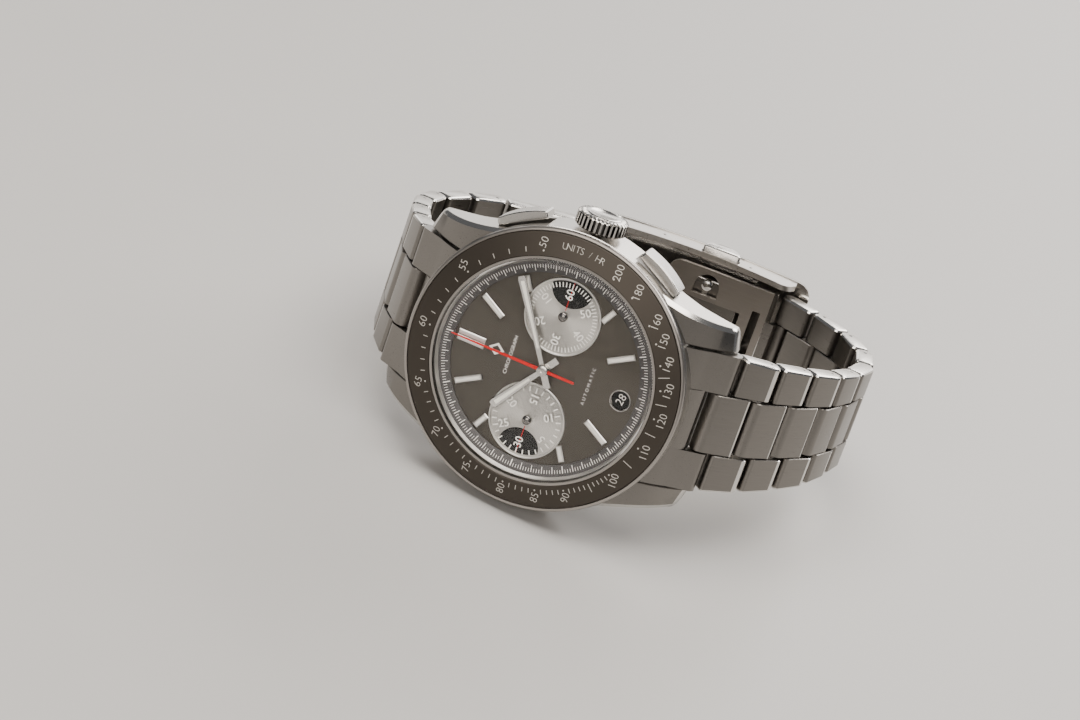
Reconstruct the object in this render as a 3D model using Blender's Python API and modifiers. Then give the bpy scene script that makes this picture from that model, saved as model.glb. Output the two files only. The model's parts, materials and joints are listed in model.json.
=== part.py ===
"""Chronograph wristwatch on a three-row steel bracelet, lying on its side with the crown up.

Every size below is in millimetres; the helpers turn them into metres.
Watch frame: +X to 3 o'clock, +Y to 12 o'clock, +Z out of the dial, zero at the bezel's face.
The whole watch hangs on one empty, which leans it back until the case flank and the clasp
both touch the ground.
"""
import math

import bmesh
import bpy
from mathutils import Matrix, Vector

MM = 0.001

# Case and head
CASE_R = 19.3
CASE_TOP = -1.4
CASE_BOTTOM = -9.0
FLANK_Z = -8.2
BORE_R = 14.9
BEZEL_R = 19.4
INSERT_OUTER_R = 18.9
INSERT_INNER_R = 15.7
CRYSTAL_R = 15.2
LUG_WIDTH = 20.0
LUG_TIP_Y = 22.5
CROWN_Z = -5.3
CROWN_R = 3.5
CROWN_START = 19.6
CROWN_END = 21.8
CROWN_FLUTES = 26
PUSHER_ANGLE = 29.6
PUSHER_WIDTH = 7.0
PUSHER_HEIGHT = 3.4
PUSHER_INNER = 19.5
PUSHER_OUTER = 21.0
PUSHER_TRAVEL = 0.8

# Dial and hands
DIAL_TOP = -1.75
DIAL_BOTTOM = -2.15
DIAL_R = 14.6
CHAPTER_INNER_R = 13.1
SUBDIAL_X = 7.6
SUBDIAL_R = 5.3
DATE_Y = -11.0
DATE_R = 1.5
MARKER_OUTER_R = 12.8
MARKER_INNER_R = 8.8
MARKER_SHORT_R = 10.5
MARKER_WIDTH = 0.85
MARKER_HEIGHT = 0.35
MINUTE_ANGLE = 57.6
HOUR_ANGLE = 304.8

# Movement
PLATE_R = 14.5
PLATE_TOP = -2.75
PLATE_BOTTOM = -3.25
BRIDGE_TOP = -6.2
BRIDGE_BOTTOM = -6.6
MESH_GAP = 0.05
CENTRE_WHEEL_R = 3.9
THIRD_PINION_R = 0.52
THIRD_WHEEL_R = 3.3
FOURTH_PINION_R = 0.4125
BARREL_XY = (-3.6, 4.3)
ESCAPE_XY = (9.33, -2.99)
PALLET_XY = (7.2, -5.6)
BALANCE_XY = (3.2, -9.2)

# Bracelet: one hinge every PITCH, bent from one link to the next by hand-set angles
PITCH = 6.2
LINK_THICKNESS = 2.7
LINK_R = LINK_THICKNESS / 2
LINK_GAP = 0.3
SIDE_GAP = 0.12
HALF_WIDTH_AT_CASE = 9.9
HALF_WIDTH_AT_CLASP = 7.6
TAPER_LINKS = 4.5
CENTRE_SHARE = 0.45
PIN_R = 0.5
PIN_BORE_R = 0.56
HINGE_Y = 22.0
HINGE_Z = -8.4
BAR_Y = 19.9
BAR_Z = -8.0
SIX_DIRECTIONS = (220, 233, 240, 254, 263, 282, 303, 323, 333)
TWELVE_DIRECTIONS = (-58, -70, -76, -90, -110, -130, -148, -150)

# Folding clasp, measured along its own axis from the last six o'clock hinge
COVER_HALF_WIDTH = 9.45
FLANGE_HALF_WIDTH = 9.3
FLANGE_THICKNESS = 0.8
COVER_OUTER = 2.6
COVER_BOW = 2.6
COVER_PLATE = 0.9
FLANGE_INNER = -3.0
FLANGE_BOW = 3.4
COVER_START = -2.2
COVER_END_CLEARANCE = 2.5
COVER_HINGE = (5.9, 0.4)
BLADE_HINGE = (26.0, -1.1)
KNUCKLE_R = 0.8
COVER_EYE_R = 0.95
BLADE_HALF_WIDTH = 7.8
BLADE_NECK = 5.2
BLADE_SHOULDER = 18.4
BLADE_INNER = -2.0
BLADE_OUTER = -1.3
UPPER_HALF_WIDTH = 5.9
CATCH_X = 5.2
CATCH_U = 12.2
CATCH_R = 1.55
BUTTON_U = 11.9
BUTTON_V = 1.4
BUTTON_R = 2.8
BUTTON_FOOT = 0.9
BUTTON_OUTER = 10.3
BUTTON_INNER = 7.9
BUTTON_BEVEL = 0.3

ROUND_STEPS = 48
SMALL_STEPS = 20
PIN_STEPS = 8

COLOURS = {
    "steel": ((0.60, 0.58, 0.55), 0.30, 1.0),
    "polished": ((0.75, 0.74, 0.72), 0.08, 1.0),
    "insert": ((0.075, 0.062, 0.050), 0.35, 0.2),
    "dial": ((0.080, 0.068, 0.054), 0.60, 0.1),
    "chapter": ((0.045, 0.045, 0.047), 0.45, 0.1),
    "silver": ((0.62, 0.61, 0.58), 0.35, 0.6),
    "glass": ((0.95, 0.95, 0.95), 0.02, 0.0),
    "rubber": ((0.01, 0.01, 0.01), 0.60, 0.0),
    "red": ((0.60, 0.02, 0.015), 0.35, 0.0),
    "brass": ((0.78, 0.57, 0.24), 0.25, 1.0),
    "plate": ((0.66, 0.63, 0.58), 0.30, 1.0),
    "black": ((0.015, 0.015, 0.016), 0.50, 0.0),
}


def clear_scene():
    for old in list(bpy.data.objects):
        bpy.data.objects.remove(old, do_unlink=True)


def new_collection(name):
    collection = bpy.data.collections.new(name)
    bpy.context.scene.collection.children.link(collection)
    return collection


def new_material(name, kind):
    colour, roughness, metallic = COLOURS[kind]
    material = bpy.data.materials.new(name)
    material.use_nodes = True
    shader = material.node_tree.nodes["Principled BSDF"]
    shader.inputs["Base Color"].default_value = (*colour, 1.0)
    shader.inputs["Roughness"].default_value = roughness
    shader.inputs["Metallic"].default_value = metallic
    if kind == "glass":
        shader.inputs["Transmission Weight"].default_value = 1.0
    return material


def metres(points):
    return [tuple(c * MM for c in point) for point in points]


def arc(centre, radius, start, end, steps):
    """Points on an arc, angles in degrees, both ends included."""
    angles = [math.radians(start + (end - start) * i / steps) for i in range(steps + 1)]
    return [(centre[0] + radius * math.cos(a), centre[1] + radius * math.sin(a)) for a in angles]


def circle(centre, radius, steps):
    return arc(centre, radius, 0, 360, steps)[:-1]


def add_object(name, mesh):
    made = bpy.data.objects.new(name, mesh)
    PARTS.objects.link(made)
    made.parent = WATCH
    return made


def finish(piece, kind, at=(0, 0, 0)):
    """Give a piece its material, its smooth shading and its place in the watch frame."""
    piece.data.materials.append(new_material(piece.name, kind))
    piece.data.shade_smooth()
    piece.data.set_sharp_from_angle(angle=math.radians(35))
    piece.location = Vector(at) * MM
    return piece


def turned(name, profile, steps=ROUND_STEPS, hollow=False):
    """A profile of (radius, z) points, down its outer side, turned about Z."""
    mesh = bpy.data.meshes.new(name)
    points = [(r, 0, z) for r, z in profile]
    edges = [(i, i + 1) for i in range(len(points) - 1)]
    if hollow:
        edges.append((len(points) - 1, 0))
    mesh.from_pydata(metres(points), edges, [])
    made = add_object(name, mesh)
    screw = made.modifiers.new("turn", "SCREW")
    screw.steps = steps
    screw.render_steps = steps
    screw.use_merge_vertices = True
    screw.merge_threshold = 1e-6
    screw.use_smooth_shade = True
    return made


def flat(name, outlines, low, high):
    """Closed outlines in XY, the first one outside and the rest holes, from z low to high."""
    curve = bpy.data.curves.new(name, "CURVE")
    curve.dimensions = "2D"
    curve.fill_mode = "BOTH"
    curve.extrude = (high - low) / 2 * MM
    for outline in outlines:
        spline = curve.splines.new("POLY")
        spline.points.add(len(outline) - 1)
        spline.use_cyclic_u = True
        for point, (x, y) in zip(spline.points, outline):
            point.co = (x * MM, y * MM, 0, 1)
    guide = bpy.data.objects.new(name + "_outline", curve)
    bpy.context.scene.collection.objects.link(guide)
    bpy.context.view_layer.update()
    evaluated = guide.evaluated_get(bpy.context.evaluated_depsgraph_get())
    mesh = bpy.data.meshes.new_from_object(evaluated)
    mesh.transform(Matrix.Translation((0, 0, (low + high) / 2 * MM)))
    bpy.data.objects.remove(guide, do_unlink=True)
    weld(mesh)
    mesh.name = name
    return add_object(name, mesh)


def weld(mesh):
    work = bmesh.new()
    work.from_mesh(mesh)
    bmesh.ops.remove_doubles(work, verts=work.verts, dist=1e-7)
    bmesh.ops.recalc_face_normals(work, faces=work.faces)
    work.to_mesh(mesh)
    work.free()


def across(piece):
    """Turn a flat piece's outline from XY into YZ, so that its depth runs along X."""
    turn = Matrix(((0, 0, 1, 0), (1, 0, 0, 0), (0, 1, 0, 0), (0, 0, 0, 1)))
    piece.data.transform(turn)
    return piece


def rod(name, radius, start, end, steps=12):
    """A plain cylinder between two points."""
    start, end = Vector(start), Vector(end)
    mesh = bpy.data.meshes.new(name)
    work = bmesh.new()
    length = (end - start).length
    bmesh.ops.create_cone(work, cap_ends=True, segments=steps, radius1=radius * MM,
                          radius2=radius * MM, depth=length * MM)
    work.to_mesh(mesh)
    work.free()
    turn = (end - start).to_track_quat("Z", "Y").to_matrix().to_4x4()
    mesh.transform(Matrix.Translation((start + end) / 2 * MM) @ turn)
    return add_object(name, mesh)


def block(name, low, high):
    mesh = bpy.data.meshes.new(name)
    work = bmesh.new()
    bmesh.ops.create_cube(work, size=1)
    work.to_mesh(mesh)
    work.free()
    low, high = Vector(low), Vector(high)
    mesh.transform(Matrix.Translation((low + high) / 2 * MM) @ Matrix.Diagonal((*(high - low) * MM, 1)))
    return add_object(name, mesh)


def combine(target, tool, operation):
    """Cut or join a tool that is given in the target's own axes."""
    for collection in list(tool.users_collection):
        collection.objects.unlink(tool)
    CUTTERS.objects.link(tool)
    tool.parent = target
    tool.hide_render = True
    tool.display_type = "WIRE"
    boolean = target.modifiers.new(tool.name, "BOOLEAN")
    boolean.operation = operation
    boolean.object = tool


def join(target, *tools):
    for tool in tools:
        combine(target, tool, "UNION")


def cut(target, *tools):
    for tool in tools:
        combine(target, tool, "DIFFERENCE")


def bevel(piece, width, segments=1, angle=40):
    edge = piece.modifiers.new("edge", "BEVEL")
    edge.width = width * MM
    edge.segments = segments
    edge.limit_method = "ANGLE"
    edge.angle_limit = math.radians(angle)
    return piece


# ---------------------------------------------------------------- case

def lug_side_profile():
    """Side outline (y, z) that lugs and end links share along their top."""
    return [(8, -1.6), (13, -2.1), (17, -3.5), (20, -5.6), (22, -8.0)]


def make_case_middle():
    body = turned("case_middle", [(0, CASE_TOP), (18.9, CASE_TOP), (CASE_R, CASE_TOP - 0.4),
                                  (CASE_R, FLANK_Z), (18.5, CASE_BOTTOM), (0, CASE_BOTTOM)])
    inner = LUG_WIDTH / 2 + 0.15
    plan = [(inner, 9.0), (16.2, 9.0), (15.4, 12.5), (13.5, 20.0), (12.9, 21.8), (12.1, LUG_TIP_Y),
            (inner, LUG_TIP_Y)]
    lug = flat("lug_plan", [plan], -11, 0)
    side = lug_side_profile() + [(LUG_TIP_Y + 0.5, -8.9), (22.4, -10.2), (20.5, -10.3), (16, -8.95),
                                 (8, -8.8)]
    shape = across(flat("lug_side", [side], inner - 1, 18))
    combine(lug, shape, "INTERSECT")
    mirror = lug.modifiers.new("four", "MIRROR")
    mirror.use_axis = (True, True, False)
    mirror.use_mirror_merge = False
    mirror.merge_threshold = 1e-6
    join(body, lug)
    cut(body, flat("bore_clear", [circle((0, 0), BORE_R, ROUND_STEPS)], -12, 1))
    cut(body, rod("stem_hole", 1.0, (13, 0, CROWN_Z), (21, 0, CROWN_Z)))
    for sign in (1, -1):
        turn = Matrix.Rotation(math.radians(sign * PUSHER_ANGLE), 4, "Z")
        pocket = block("pusher_pocket", (PUSHER_INNER - PUSHER_TRAVEL - 0.15, -PUSHER_WIDTH / 2 - 0.15,
                                         CROWN_Z - PUSHER_HEIGHT / 2 - 0.15),
                       (24, PUSHER_WIDTH / 2 + 0.15, CROWN_Z + PUSHER_HEIGHT / 2 + 0.15))
        hole = rod("pusher_hole", 0.95, (13, 0, CROWN_Z), (20, 0, CROWN_Z))
        for tool in (pocket, hole):
            tool.data.transform(turn)
            cut(body, tool)
    for sign in (1, -1):
        cut(body, rod("bar_hole", 0.75, (-12, sign * BAR_Y, BAR_Z), (12, sign * BAR_Y, BAR_Z)))
    return finish(body, "steel")


def make_bezel():
    ring = turned("bezel_ring", [(18.98, -0.66), (19.25, -0.72), (BEZEL_R, -0.95), (BEZEL_R, -1.35),
                                 (15.7, -1.35), (15.7, -0.33), (18.98, -1.04)], hollow=True)
    finish(ring, "polished")
    insert = turned("tachymeter_insert", [(INSERT_OUTER_R, -0.62), (INSERT_OUTER_R, -0.97),
                                          (INSERT_INNER_R, -0.27), (INSERT_INNER_R, 0.12)], hollow=True)
    finish(insert, "insert")


def dome(radius, edge_z, centre_z, steps):
    """Points (r, z) along a shallow dome from the middle out to its edge."""
    drop = centre_z - edge_z
    return [(radius * i / steps, centre_z - drop * (i / steps) ** 2) for i in range(steps + 1)]


def make_crystal():
    top = dome(14.85, 0.35, 1.3, 3)
    under = dome(14.5, -0.75, 0.15, 2)
    crystal = turned("crystal", top + [(CRYSTAL_R, 0.05), (CRYSTAL_R, -1.0)] + under[::-1])
    finish(crystal, "glass")
    gasket = turned("crystal_gasket", [(15.6, -0.1), (15.6, -1.3), (15.27, -1.3), (15.27, -0.1)],
                    steps=32, hollow=True)
    finish(gasket, "rubber")


def make_case_back():
    back = turned("case_back", [(0, -8.3), (14.7, -8.3), (14.7, -9.1), (15.0, -9.1), (15.0, -9.35),
                                (16.0, -9.35), (16.0, -9.1), (17.6, -9.1), (17.6, -9.7), (15.0, -10.5),
                                (0, -10.5)])
    finish(back, "steel")
    gasket = turned("case_back_gasket", [(15.9, -9.07), (15.9, -9.3), (15.1, -9.3), (15.1, -9.07)],
                    steps=32, hollow=True)
    finish(gasket, "rubber")


def make_crown():
    depth = 0.32
    outline = []
    for i in range(CROWN_FLUTES):
        for share, r in ((0.0, CROWN_R), (0.4, CROWN_R), (0.7, CROWN_R - depth)):
            outline += arc((0, 0), r, 360 * (i + share) / CROWN_FLUTES, 0, 1)[:1]
    crown = flat("crown", [outline], CROWN_START, CROWN_END - 0.7)
    cap = turned("crown_cap", [(0, CROWN_END), (2.45, CROWN_END), (2.6, CROWN_END - 0.35),
                               (3.1, CROWN_END - 0.62), (3.1, CROWN_END - 1.0), (0, CROWN_END - 1.0)],
                 steps=SMALL_STEPS)
    recess = flat("crown_recess", [circle((0, 0), 1.7, SMALL_STEPS)], CROWN_START - 1, CROWN_START + 1.4)
    join(crown, cap)
    cut(crown, recess)
    finish(crown, "polished", (0, 0, CROWN_Z))
    crown.rotation_euler = (0, math.radians(90), 0)
    stem = turned("winding_stem", [(0, CROWN_START + 1.3), (0.8, CROWN_START + 1.3), (0.8, 15.2),
                                   (0.5, 15.2), (0.5, 11.5), (0, 11.5)], steps=12)
    finish(stem, "plate", (0, 0, CROWN_Z))
    stem.rotation_euler = (0, math.radians(90), 0)


def make_pusher(name, sign):
    """A bowed rectangular head on a round stem, in axes that point out of the case."""
    half = PUSHER_WIDTH / 2
    bow = arc((PUSHER_OUTER - 14, 0), 14, -math.degrees(math.asin(half / 14)),
              math.degrees(math.asin(half / 14)), 6)
    head = flat(name, [[(PUSHER_INNER, half), (PUSHER_INNER, -half)] + bow],
                -PUSHER_HEIGHT / 2, PUSHER_HEIGHT / 2)
    bevel(head, 0.3)
    join(head, rod(name + "_stem", 0.85, (15.6, 0, 0), (PUSHER_INNER + 0.5, 0, 0)))
    finish(head, "polished", (0, 0, CROWN_Z))
    head.rotation_euler = (0, 0, math.radians(sign * PUSHER_ANGLE))


# ---------------------------------------------------------------- dial and hands

def marker(angle, inner, side_shift=0.0, width=MARKER_WIDTH):
    """One applied hour baton, sunk a little into the dial so that they join."""
    piece = block("marker_%d" % angle, (side_shift - width / 2, inner, DIAL_TOP - 0.15),
                  (side_shift + width / 2, MARKER_OUTER_R, DIAL_TOP + MARKER_HEIGHT))
    piece.data.transform(Matrix.Rotation(math.radians(-angle), 4, "Z"))
    return piece


def make_dial():
    holes = [circle((sign * SUBDIAL_X, 0), SUBDIAL_R + 0.12, 32) for sign in (1, -1)]
    holes.append(circle((0, DATE_Y), DATE_R + 0.05, 20))
    holes.append(circle((0, 0), 0.9, 16))
    dial = flat("dial", [circle((0, 0), DIAL_R, ROUND_STEPS)] + holes, DIAL_BOTTOM, DIAL_TOP)
    for side in (-0.42, 0.42):
        join(dial, marker(0, MARKER_INNER_R, side, 0.75))
    for hour in (1, 5, 7, 11):
        join(dial, marker(30 * hour, MARKER_INNER_R))
    for hour in (2, 4, 8, 10):
        join(dial, marker(30 * hour, MARKER_SHORT_R))
    finish(dial, "dial")
    frame = turned("date_window_frame", [(DATE_R, DIAL_TOP + 0.2), (DATE_R, DIAL_BOTTOM + 0.05),
                                         (1.15, DIAL_BOTTOM + 0.05), (1.25, DIAL_TOP + 0.2)],
                   steps=SMALL_STEPS, hollow=True)
    finish(frame, "polished", (0, DATE_Y, 0))
    date = flat("date_disc", [circle((0, 0), 12.9, 36), circle((0, 0), 8.9, 36)], -2.6, -2.3)
    finish(date, "black")
    chapter = turned("chapter_ring", [(14.4, -1.1), (14.8, -1.1), (14.8, DIAL_TOP + 0.05),
                                      (CHAPTER_INNER_R, DIAL_TOP + 0.05), (CHAPTER_INNER_R, -1.5)],
                     hollow=True)
    finish(chapter, "chapter")


def make_subdial(prefix, sign):
    """A fixed silvered dish with a raised rim, and the clear numbered disc that turns in it."""
    dish = turned(prefix + "_dish", [(SUBDIAL_R, -1.6), (SUBDIAL_R, -2.2), (0.4, -2.2), (0.4, -2.0),
                                     (SUBDIAL_R - 0.25, -2.0), (SUBDIAL_R - 0.25, -1.6)],
                  steps=32, hollow=True)
    finish(dish, "silver", (sign * SUBDIAL_X, 0, 0))
    disc = turned(prefix + "_disc", [(0, -1.45), (0.5, -1.48), (0.72, -1.62), (4.95, -1.62), (4.95, -1.75),
                                     (0.3, -1.75), (0.3, -5.3), (0, -5.3)], steps=24)
    finish(disc, "glass", (sign * SUBDIAL_X, 0, 0))


def hand_outline(inner, outer, tail, root_width, tip_width, tail_width):
    """A widening baton with a short square tail."""
    return [(root_width, inner), (tip_width, outer - 0.5), (tip_width * 0.7, outer),
            (-tip_width * 0.7, outer), (-tip_width, outer - 0.5), (-root_width, inner),
            (-tail_width, -0.6), (-tail_width, -tail), (tail_width, -tail), (tail_width, -0.6)]


def make_hands():
    hour = flat("hour_hand", [hand_outline(0.6, 8.9, 2.4, 0.3, 0.62, 0.5)], -1.33, -1.18)
    join(hour, flat("hour_tube", [circle((0, 0), 0.78, 20)], -2.6, -1.15))
    cut(hour, rod("hour_bore", 0.55, (0, 0, -3), (0, 0, 0), 20))
    finish(hour, "polished")
    hour.rotation_euler = (0, 0, math.radians(-HOUR_ANGLE))
    minute = flat("minute_hand", [hand_outline(0.6, 12.9, 2.6, 0.28, 0.58, 0.5)], -1.08, -0.93)
    join(minute, flat("cannon_tube", [circle((0, 0), 0.48, 16)], -5.2, -0.9))
    cut(minute, rod("minute_bore", 0.27, (0, 0, -6), (0, 0, 0), 12))
    finish(minute, "polished")
    minute.rotation_euler = (0, 0, math.radians(-MINUTE_ANGLE))
    outline = [(0.24, 0.5), (0.07, 13.3), (-0.07, 13.3), (-0.24, 0.5), (-0.2, -0.5), (-0.14, -4.5),
               (0.14, -4.5), (0.2, -0.5)]
    seconds = flat("chronograph_hand", [outline], -0.83, -0.7)
    boss = turned("chronograph_boss", [(0, -0.25), (0.6, -0.25), (0.78, -0.4), (0.78, -0.83), (0.2, -0.83),
                                       (0.2, -5.4), (0, -5.4)], steps=20)
    join(seconds, boss)
    finish(seconds, "red")


# ---------------------------------------------------------------- movement

def gear_outline(radius, teeth, depth=0.22):
    points = []
    for i in range(teeth):
        points += arc((0, 0), radius, 360 * i / teeth, 0, 1)[:1]
        points += arc((0, 0), radius - depth, 360 * (i + 0.5) / teeth, 0, 1)[:1]
    return points


def make_wheel(name, at, radius, teeth, level, pinion_r, pinion_level, arbor, kind="brass"):
    """A wheel and its pinion on one arbor; level is (low, high) and arbor the arbor's ends."""
    spokes = [circle((radius * 0.55 * math.cos(a), radius * 0.55 * math.sin(a)), radius * 0.22, 8)
              for a in (math.radians(45 + 90 * i) for i in range(4))]
    wheel = flat(name, [gear_outline(radius, teeth)] + spokes, *level)
    join(wheel, flat(name + "_pinion", [circle((0, 0), pinion_r, 12)], *pinion_level))
    join(wheel, flat(name + "_arbor", [circle((0, 0), 0.25, 10)], *arbor))
    return finish(wheel, kind, (*at, 0))


def third_wheel_place():
    """Where the third wheel meshes with the centre wheel and with the fourth pinion."""
    to_centre = CENTRE_WHEEL_R + THIRD_PINION_R + MESH_GAP
    to_fourth = THIRD_WHEEL_R + FOURTH_PINION_R + MESH_GAP
    x = (to_centre ** 2 - to_fourth ** 2 + SUBDIAL_X ** 2) / (2 * SUBDIAL_X)
    return x, -math.sqrt(to_centre ** 2 - x ** 2)


def make_train():
    barrel = flat("mainspring_barrel", [gear_outline(4.6, 40)], -4.5, -4.2)
    join(barrel, turned("barrel_drum", [(0, -4.3), (4.1, -4.3), (4.1, -5.8), (0, -5.8)], steps=24))
    join(barrel, rod("barrel_arbor", 0.6, (0, 0, -6.1), (0, 0, -3.4)))
    finish(barrel, "brass", (*BARREL_XY, 0))
    bore = circle((0, 0), 0.53, 16)
    centre = flat("centre_wheel", [gear_outline(CENTRE_WHEEL_R, 32), bore], -3.95, -3.75)
    join(centre, flat("centre_pinion", [circle((0, 0), 0.9, 16), bore], -5.1, -3.85))
    finish(centre, "brass")
    make_wheel("third_wheel", third_wheel_place(), THIRD_WHEEL_R, 28, (-4.55, -4.35), THIRD_PINION_R,
               (-4.45, -3.45), (-6.1, -3.35))
    make_wheel("escape_wheel", ESCAPE_XY, 2.2, 15, (-5.85, -5.65), 0.4, (-5.75, -5.0),
               (-6.1, -3.35), "plate")
    spokes = [circle((1.65 * math.cos(a), 1.65 * math.sin(a)), 0.66, 8)
              for a in (math.radians(45 + 90 * i) for i in range(4))]
    rim = gear_outline(3.0, 26)
    fourth = flat("fourth_wheel", [rim] + spokes + [circle((0, 0), 0.32, 10)], -5.25, -5.05)
    pinion = [circle((0, 0), FOURTH_PINION_R, 12), circle((0, 0), 0.32, 10)]
    join(fourth, flat("fourth_pinion", pinion, -5.15, -4.0))
    finish(fourth, "brass", (SUBDIAL_X, 0, 0))


def make_escapement():
    to_balance = Vector(BALANCE_XY) - Vector(PALLET_XY)
    reach = to_balance.length - 0.9
    lever = [(-1.5, 0.9), (-1.2, 1.1), (0, 0.35), (1.2, 1.1), (1.5, 0.9), (0.3, -0.4), (0.22, -reach),
             (-0.22, -reach), (-0.3, -0.4)]
    fork = flat("pallet_fork", [lever], -5.85, -5.65)
    join(fork, rod("pallet_arbor", 0.25, (0, 0, -6.1), (0, 0, -3.35)))
    finish(fork, "plate", (*PALLET_XY, 0))
    fork.rotation_euler = (0, 0, math.atan2(-to_balance.y, -to_balance.x) - math.pi / 2)
    rim = [circle((0, 0), 3.9, 40)]
    windows = []
    for sign in (1, -1):
        windows.append(arc((0, 0), 3.4, sign * 90 - 80, sign * 90 + 80, 14)
                       + arc((0, 0), 0.8, sign * 90 + 60, sign * 90 - 60, 4))
    balance = flat("balance_wheel", rim + windows, -4.95, -4.65)
    join(balance, rod("balance_staff", 0.2, (0, 0, -6.1), (0, 0, -3.35), 10))
    join(balance, rod("balance_roller", 0.55, (0, 0, -5.85), (0, 0, -5.65)))
    finish(balance, "brass", (*BALANCE_XY, 0))
    make_hairspring()


def make_hairspring():
    """A flat spiral of 4 turns between the balance rim and the fork."""
    turns, steps = 4, 48
    curve = bpy.data.curves.new("hairspring", "CURVE")
    curve.dimensions = "3D"
    curve.bevel_depth = 0.06 * MM
    curve.bevel_resolution = 0
    curve.use_fill_caps = True
    spline = curve.splines.new("POLY")
    spline.points.add(steps)
    for i, point in enumerate(spline.points):
        a = 2 * math.pi * turns * i / steps
        r = 0.5 + 1.6 * i / steps
        point.co = (r * math.cos(a) * MM, r * math.sin(a) * MM, -5.3 * MM, 1)
    guide = bpy.data.objects.new("spiral_guide", curve)
    bpy.context.scene.collection.objects.link(guide)
    bpy.context.view_layer.update()
    evaluated = guide.evaluated_get(bpy.context.evaluated_depsgraph_get())
    mesh = bpy.data.meshes.new_from_object(evaluated)
    bpy.data.objects.remove(guide, do_unlink=True)
    weld(mesh)
    mesh.name = "hairspring"
    finish(add_object("hairspring", mesh), "plate", (*BALANCE_XY, 0))


def make_plates():
    holes = [circle((0, 0), 0.95, 16), circle((SUBDIAL_X, 0), 0.45, 12), circle((-SUBDIAL_X, 0), 0.45, 12)]
    plate = flat("main_plate", [circle((0, 0), PLATE_R, 40)] + holes, PLATE_BOTTOM, PLATE_TOP)
    finish(plate, "plate")
    outline = arc((0, 0), 13.2, -25, 215, 24) + [(-8.5, -9.5), (-3.2, -6.2), (0.5, -4.2), (6.2, -4.0)]
    bridge = flat("train_bridge", [outline], BRIDGE_BOTTOM, BRIDGE_TOP)
    for x, y in ((-11.5, 3.0), (3.5, 11.8), (11.8, 1.5), (-7.0, -6.5)):
        join(bridge, rod("bridge_post", 0.7, (x, y, BRIDGE_TOP - 0.2), (x, y, PLATE_BOTTOM - 0.08)))
    join(bridge, rod("rotor_post", 0.9, (0, 0, -8.1), (0, 0, BRIDGE_BOTTOM + 0.2), 20))
    finish(bridge, "plate")
    cock_outline = [(-4.5, -11.2), (-3.0, -12.6), (0.5, -11.6), (3.2, -10.4), (4.4, -9.2), (3.2, -8.0),
                    (0.2, -8.6), (-3.4, -9.4)]
    cock = flat("balance_cock", [cock_outline], BRIDGE_BOTTOM, BRIDGE_TOP)
    join(cock, rod("cock_post", 0.8, (-3.0, -11.3, BRIDGE_TOP - 0.2), (-3.0, -11.3, PLATE_BOTTOM - 0.08)))
    finish(cock, "plate")


def make_rotor():
    half = arc((0, 0), 12.4, 180, 360, 28) + arc((0, 0), 2.2, 0, 180, 10)
    web = flat("rotor", [half], -7.45, -7.15)
    rim = arc((0, 0), 13.9, 184, 356, 28) + arc((0, 0), 11.6, 356, 184, 28)
    hub = flat("rotor_hub", [circle((0, 0), 2.6, SMALL_STEPS)], -7.75, -7.0)
    join(web, flat("rotor_rim", [rim], -8.1, -6.85), hub)
    cut(web, rod("rotor_bore", 1.0, (0, 0, -9), (0, 0, -6), 20))
    finish(web, "plate")
    web.rotation_euler = (0, 0, math.radians(-90))


# ---------------------------------------------------------------- bracelet

def chain(side, directions):
    """Hinge points (y, z) of one half of the bracelet, from the case outward."""
    points = [Vector((side * HINGE_Y, HINGE_Z))]
    for degrees in directions:
        a = math.radians(degrees)
        points.append(points[-1] + PITCH * Vector((math.cos(a), math.sin(a))))
    return points


def place(piece, point, degrees, side):
    """Put a piece on a hinge: its Y runs along the bracelet and its Z away from the wrist."""
    a = math.radians(degrees)
    along = Vector((0, math.cos(a), math.sin(a)))
    wide = Vector((side, 0, 0))
    turn = Matrix((wide, along, wide.cross(along))).transposed().to_4x4()
    piece.matrix_local = Matrix.Translation(Vector((0, *point)) * MM) @ turn


def half_width(position):
    """Bracelet half width at a distance from the case counted in links."""
    share = min(position / TAPER_LINKS, 1)
    return HALF_WIDTH_AT_CASE + (HALF_WIDTH_AT_CLASP - HALF_WIDTH_AT_CASE) * share


def centre_half(index):
    return CENTRE_SHARE * (half_width(index) + half_width(index + 1)) / 2


def make_link(name, index, pinned=True):
    """One unit: a centre link that reaches back to its hinge, and two outer links."""
    middle = centre_half(index)
    flat_end = PITCH - LINK_R - (LINK_GAP if pinned else 2 * LINK_GAP)
    back = arc((0, 0), LINK_R, 90, 270, 6)
    centre = back + [(flat_end, -LINK_R), (flat_end, LINK_R)]
    link = across(flat(name, [centre, circle((0, 0), PIN_BORE_R, PIN_STEPS)],
                       -middle + SIDE_GAP, middle - SIDE_GAP))
    front = arc((PITCH, 0), LINK_R, -90, 90, 6)
    outer = [(LINK_R + LINK_GAP, LINK_R), (LINK_R + LINK_GAP, -LINK_R)] + front
    edge = half_width(index + 0.5)
    for sign in (1, -1):
        low, high = sorted((sign * middle, sign * edge))
        side = across(flat(name + "_outer", [outer], low, high))
        for vertex in side.data.vertices:
            if abs(vertex.co.x) > (edge - 0.01) * MM:
                vertex.co.x = sign * half_width(index + vertex.co.y / MM / PITCH) * MM
        join(link, side)
    join(link, rod(name + "_bar", 0.8, (-middle - 0.6, PITCH / 2, 0), (middle + 0.6, PITCH / 2, 0), 6))
    if pinned:
        ends = (-middle - 0.6, PITCH, 0), (middle + 0.6, PITCH, 0)
        join(link, rod(name + "_pin", PIN_R, *ends, PIN_STEPS))
    return finish(link, "steel")


def make_half_bracelet(prefix, side, directions, last_pinned):
    points = chain(side, directions)
    for index, degrees in enumerate(directions):
        pinned = last_pinned or index < len(directions) - 1
        link = make_link("%s_%d" % (prefix, index + 1), index, pinned)
        place(link, points[index], degrees, side)
    return points


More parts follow.
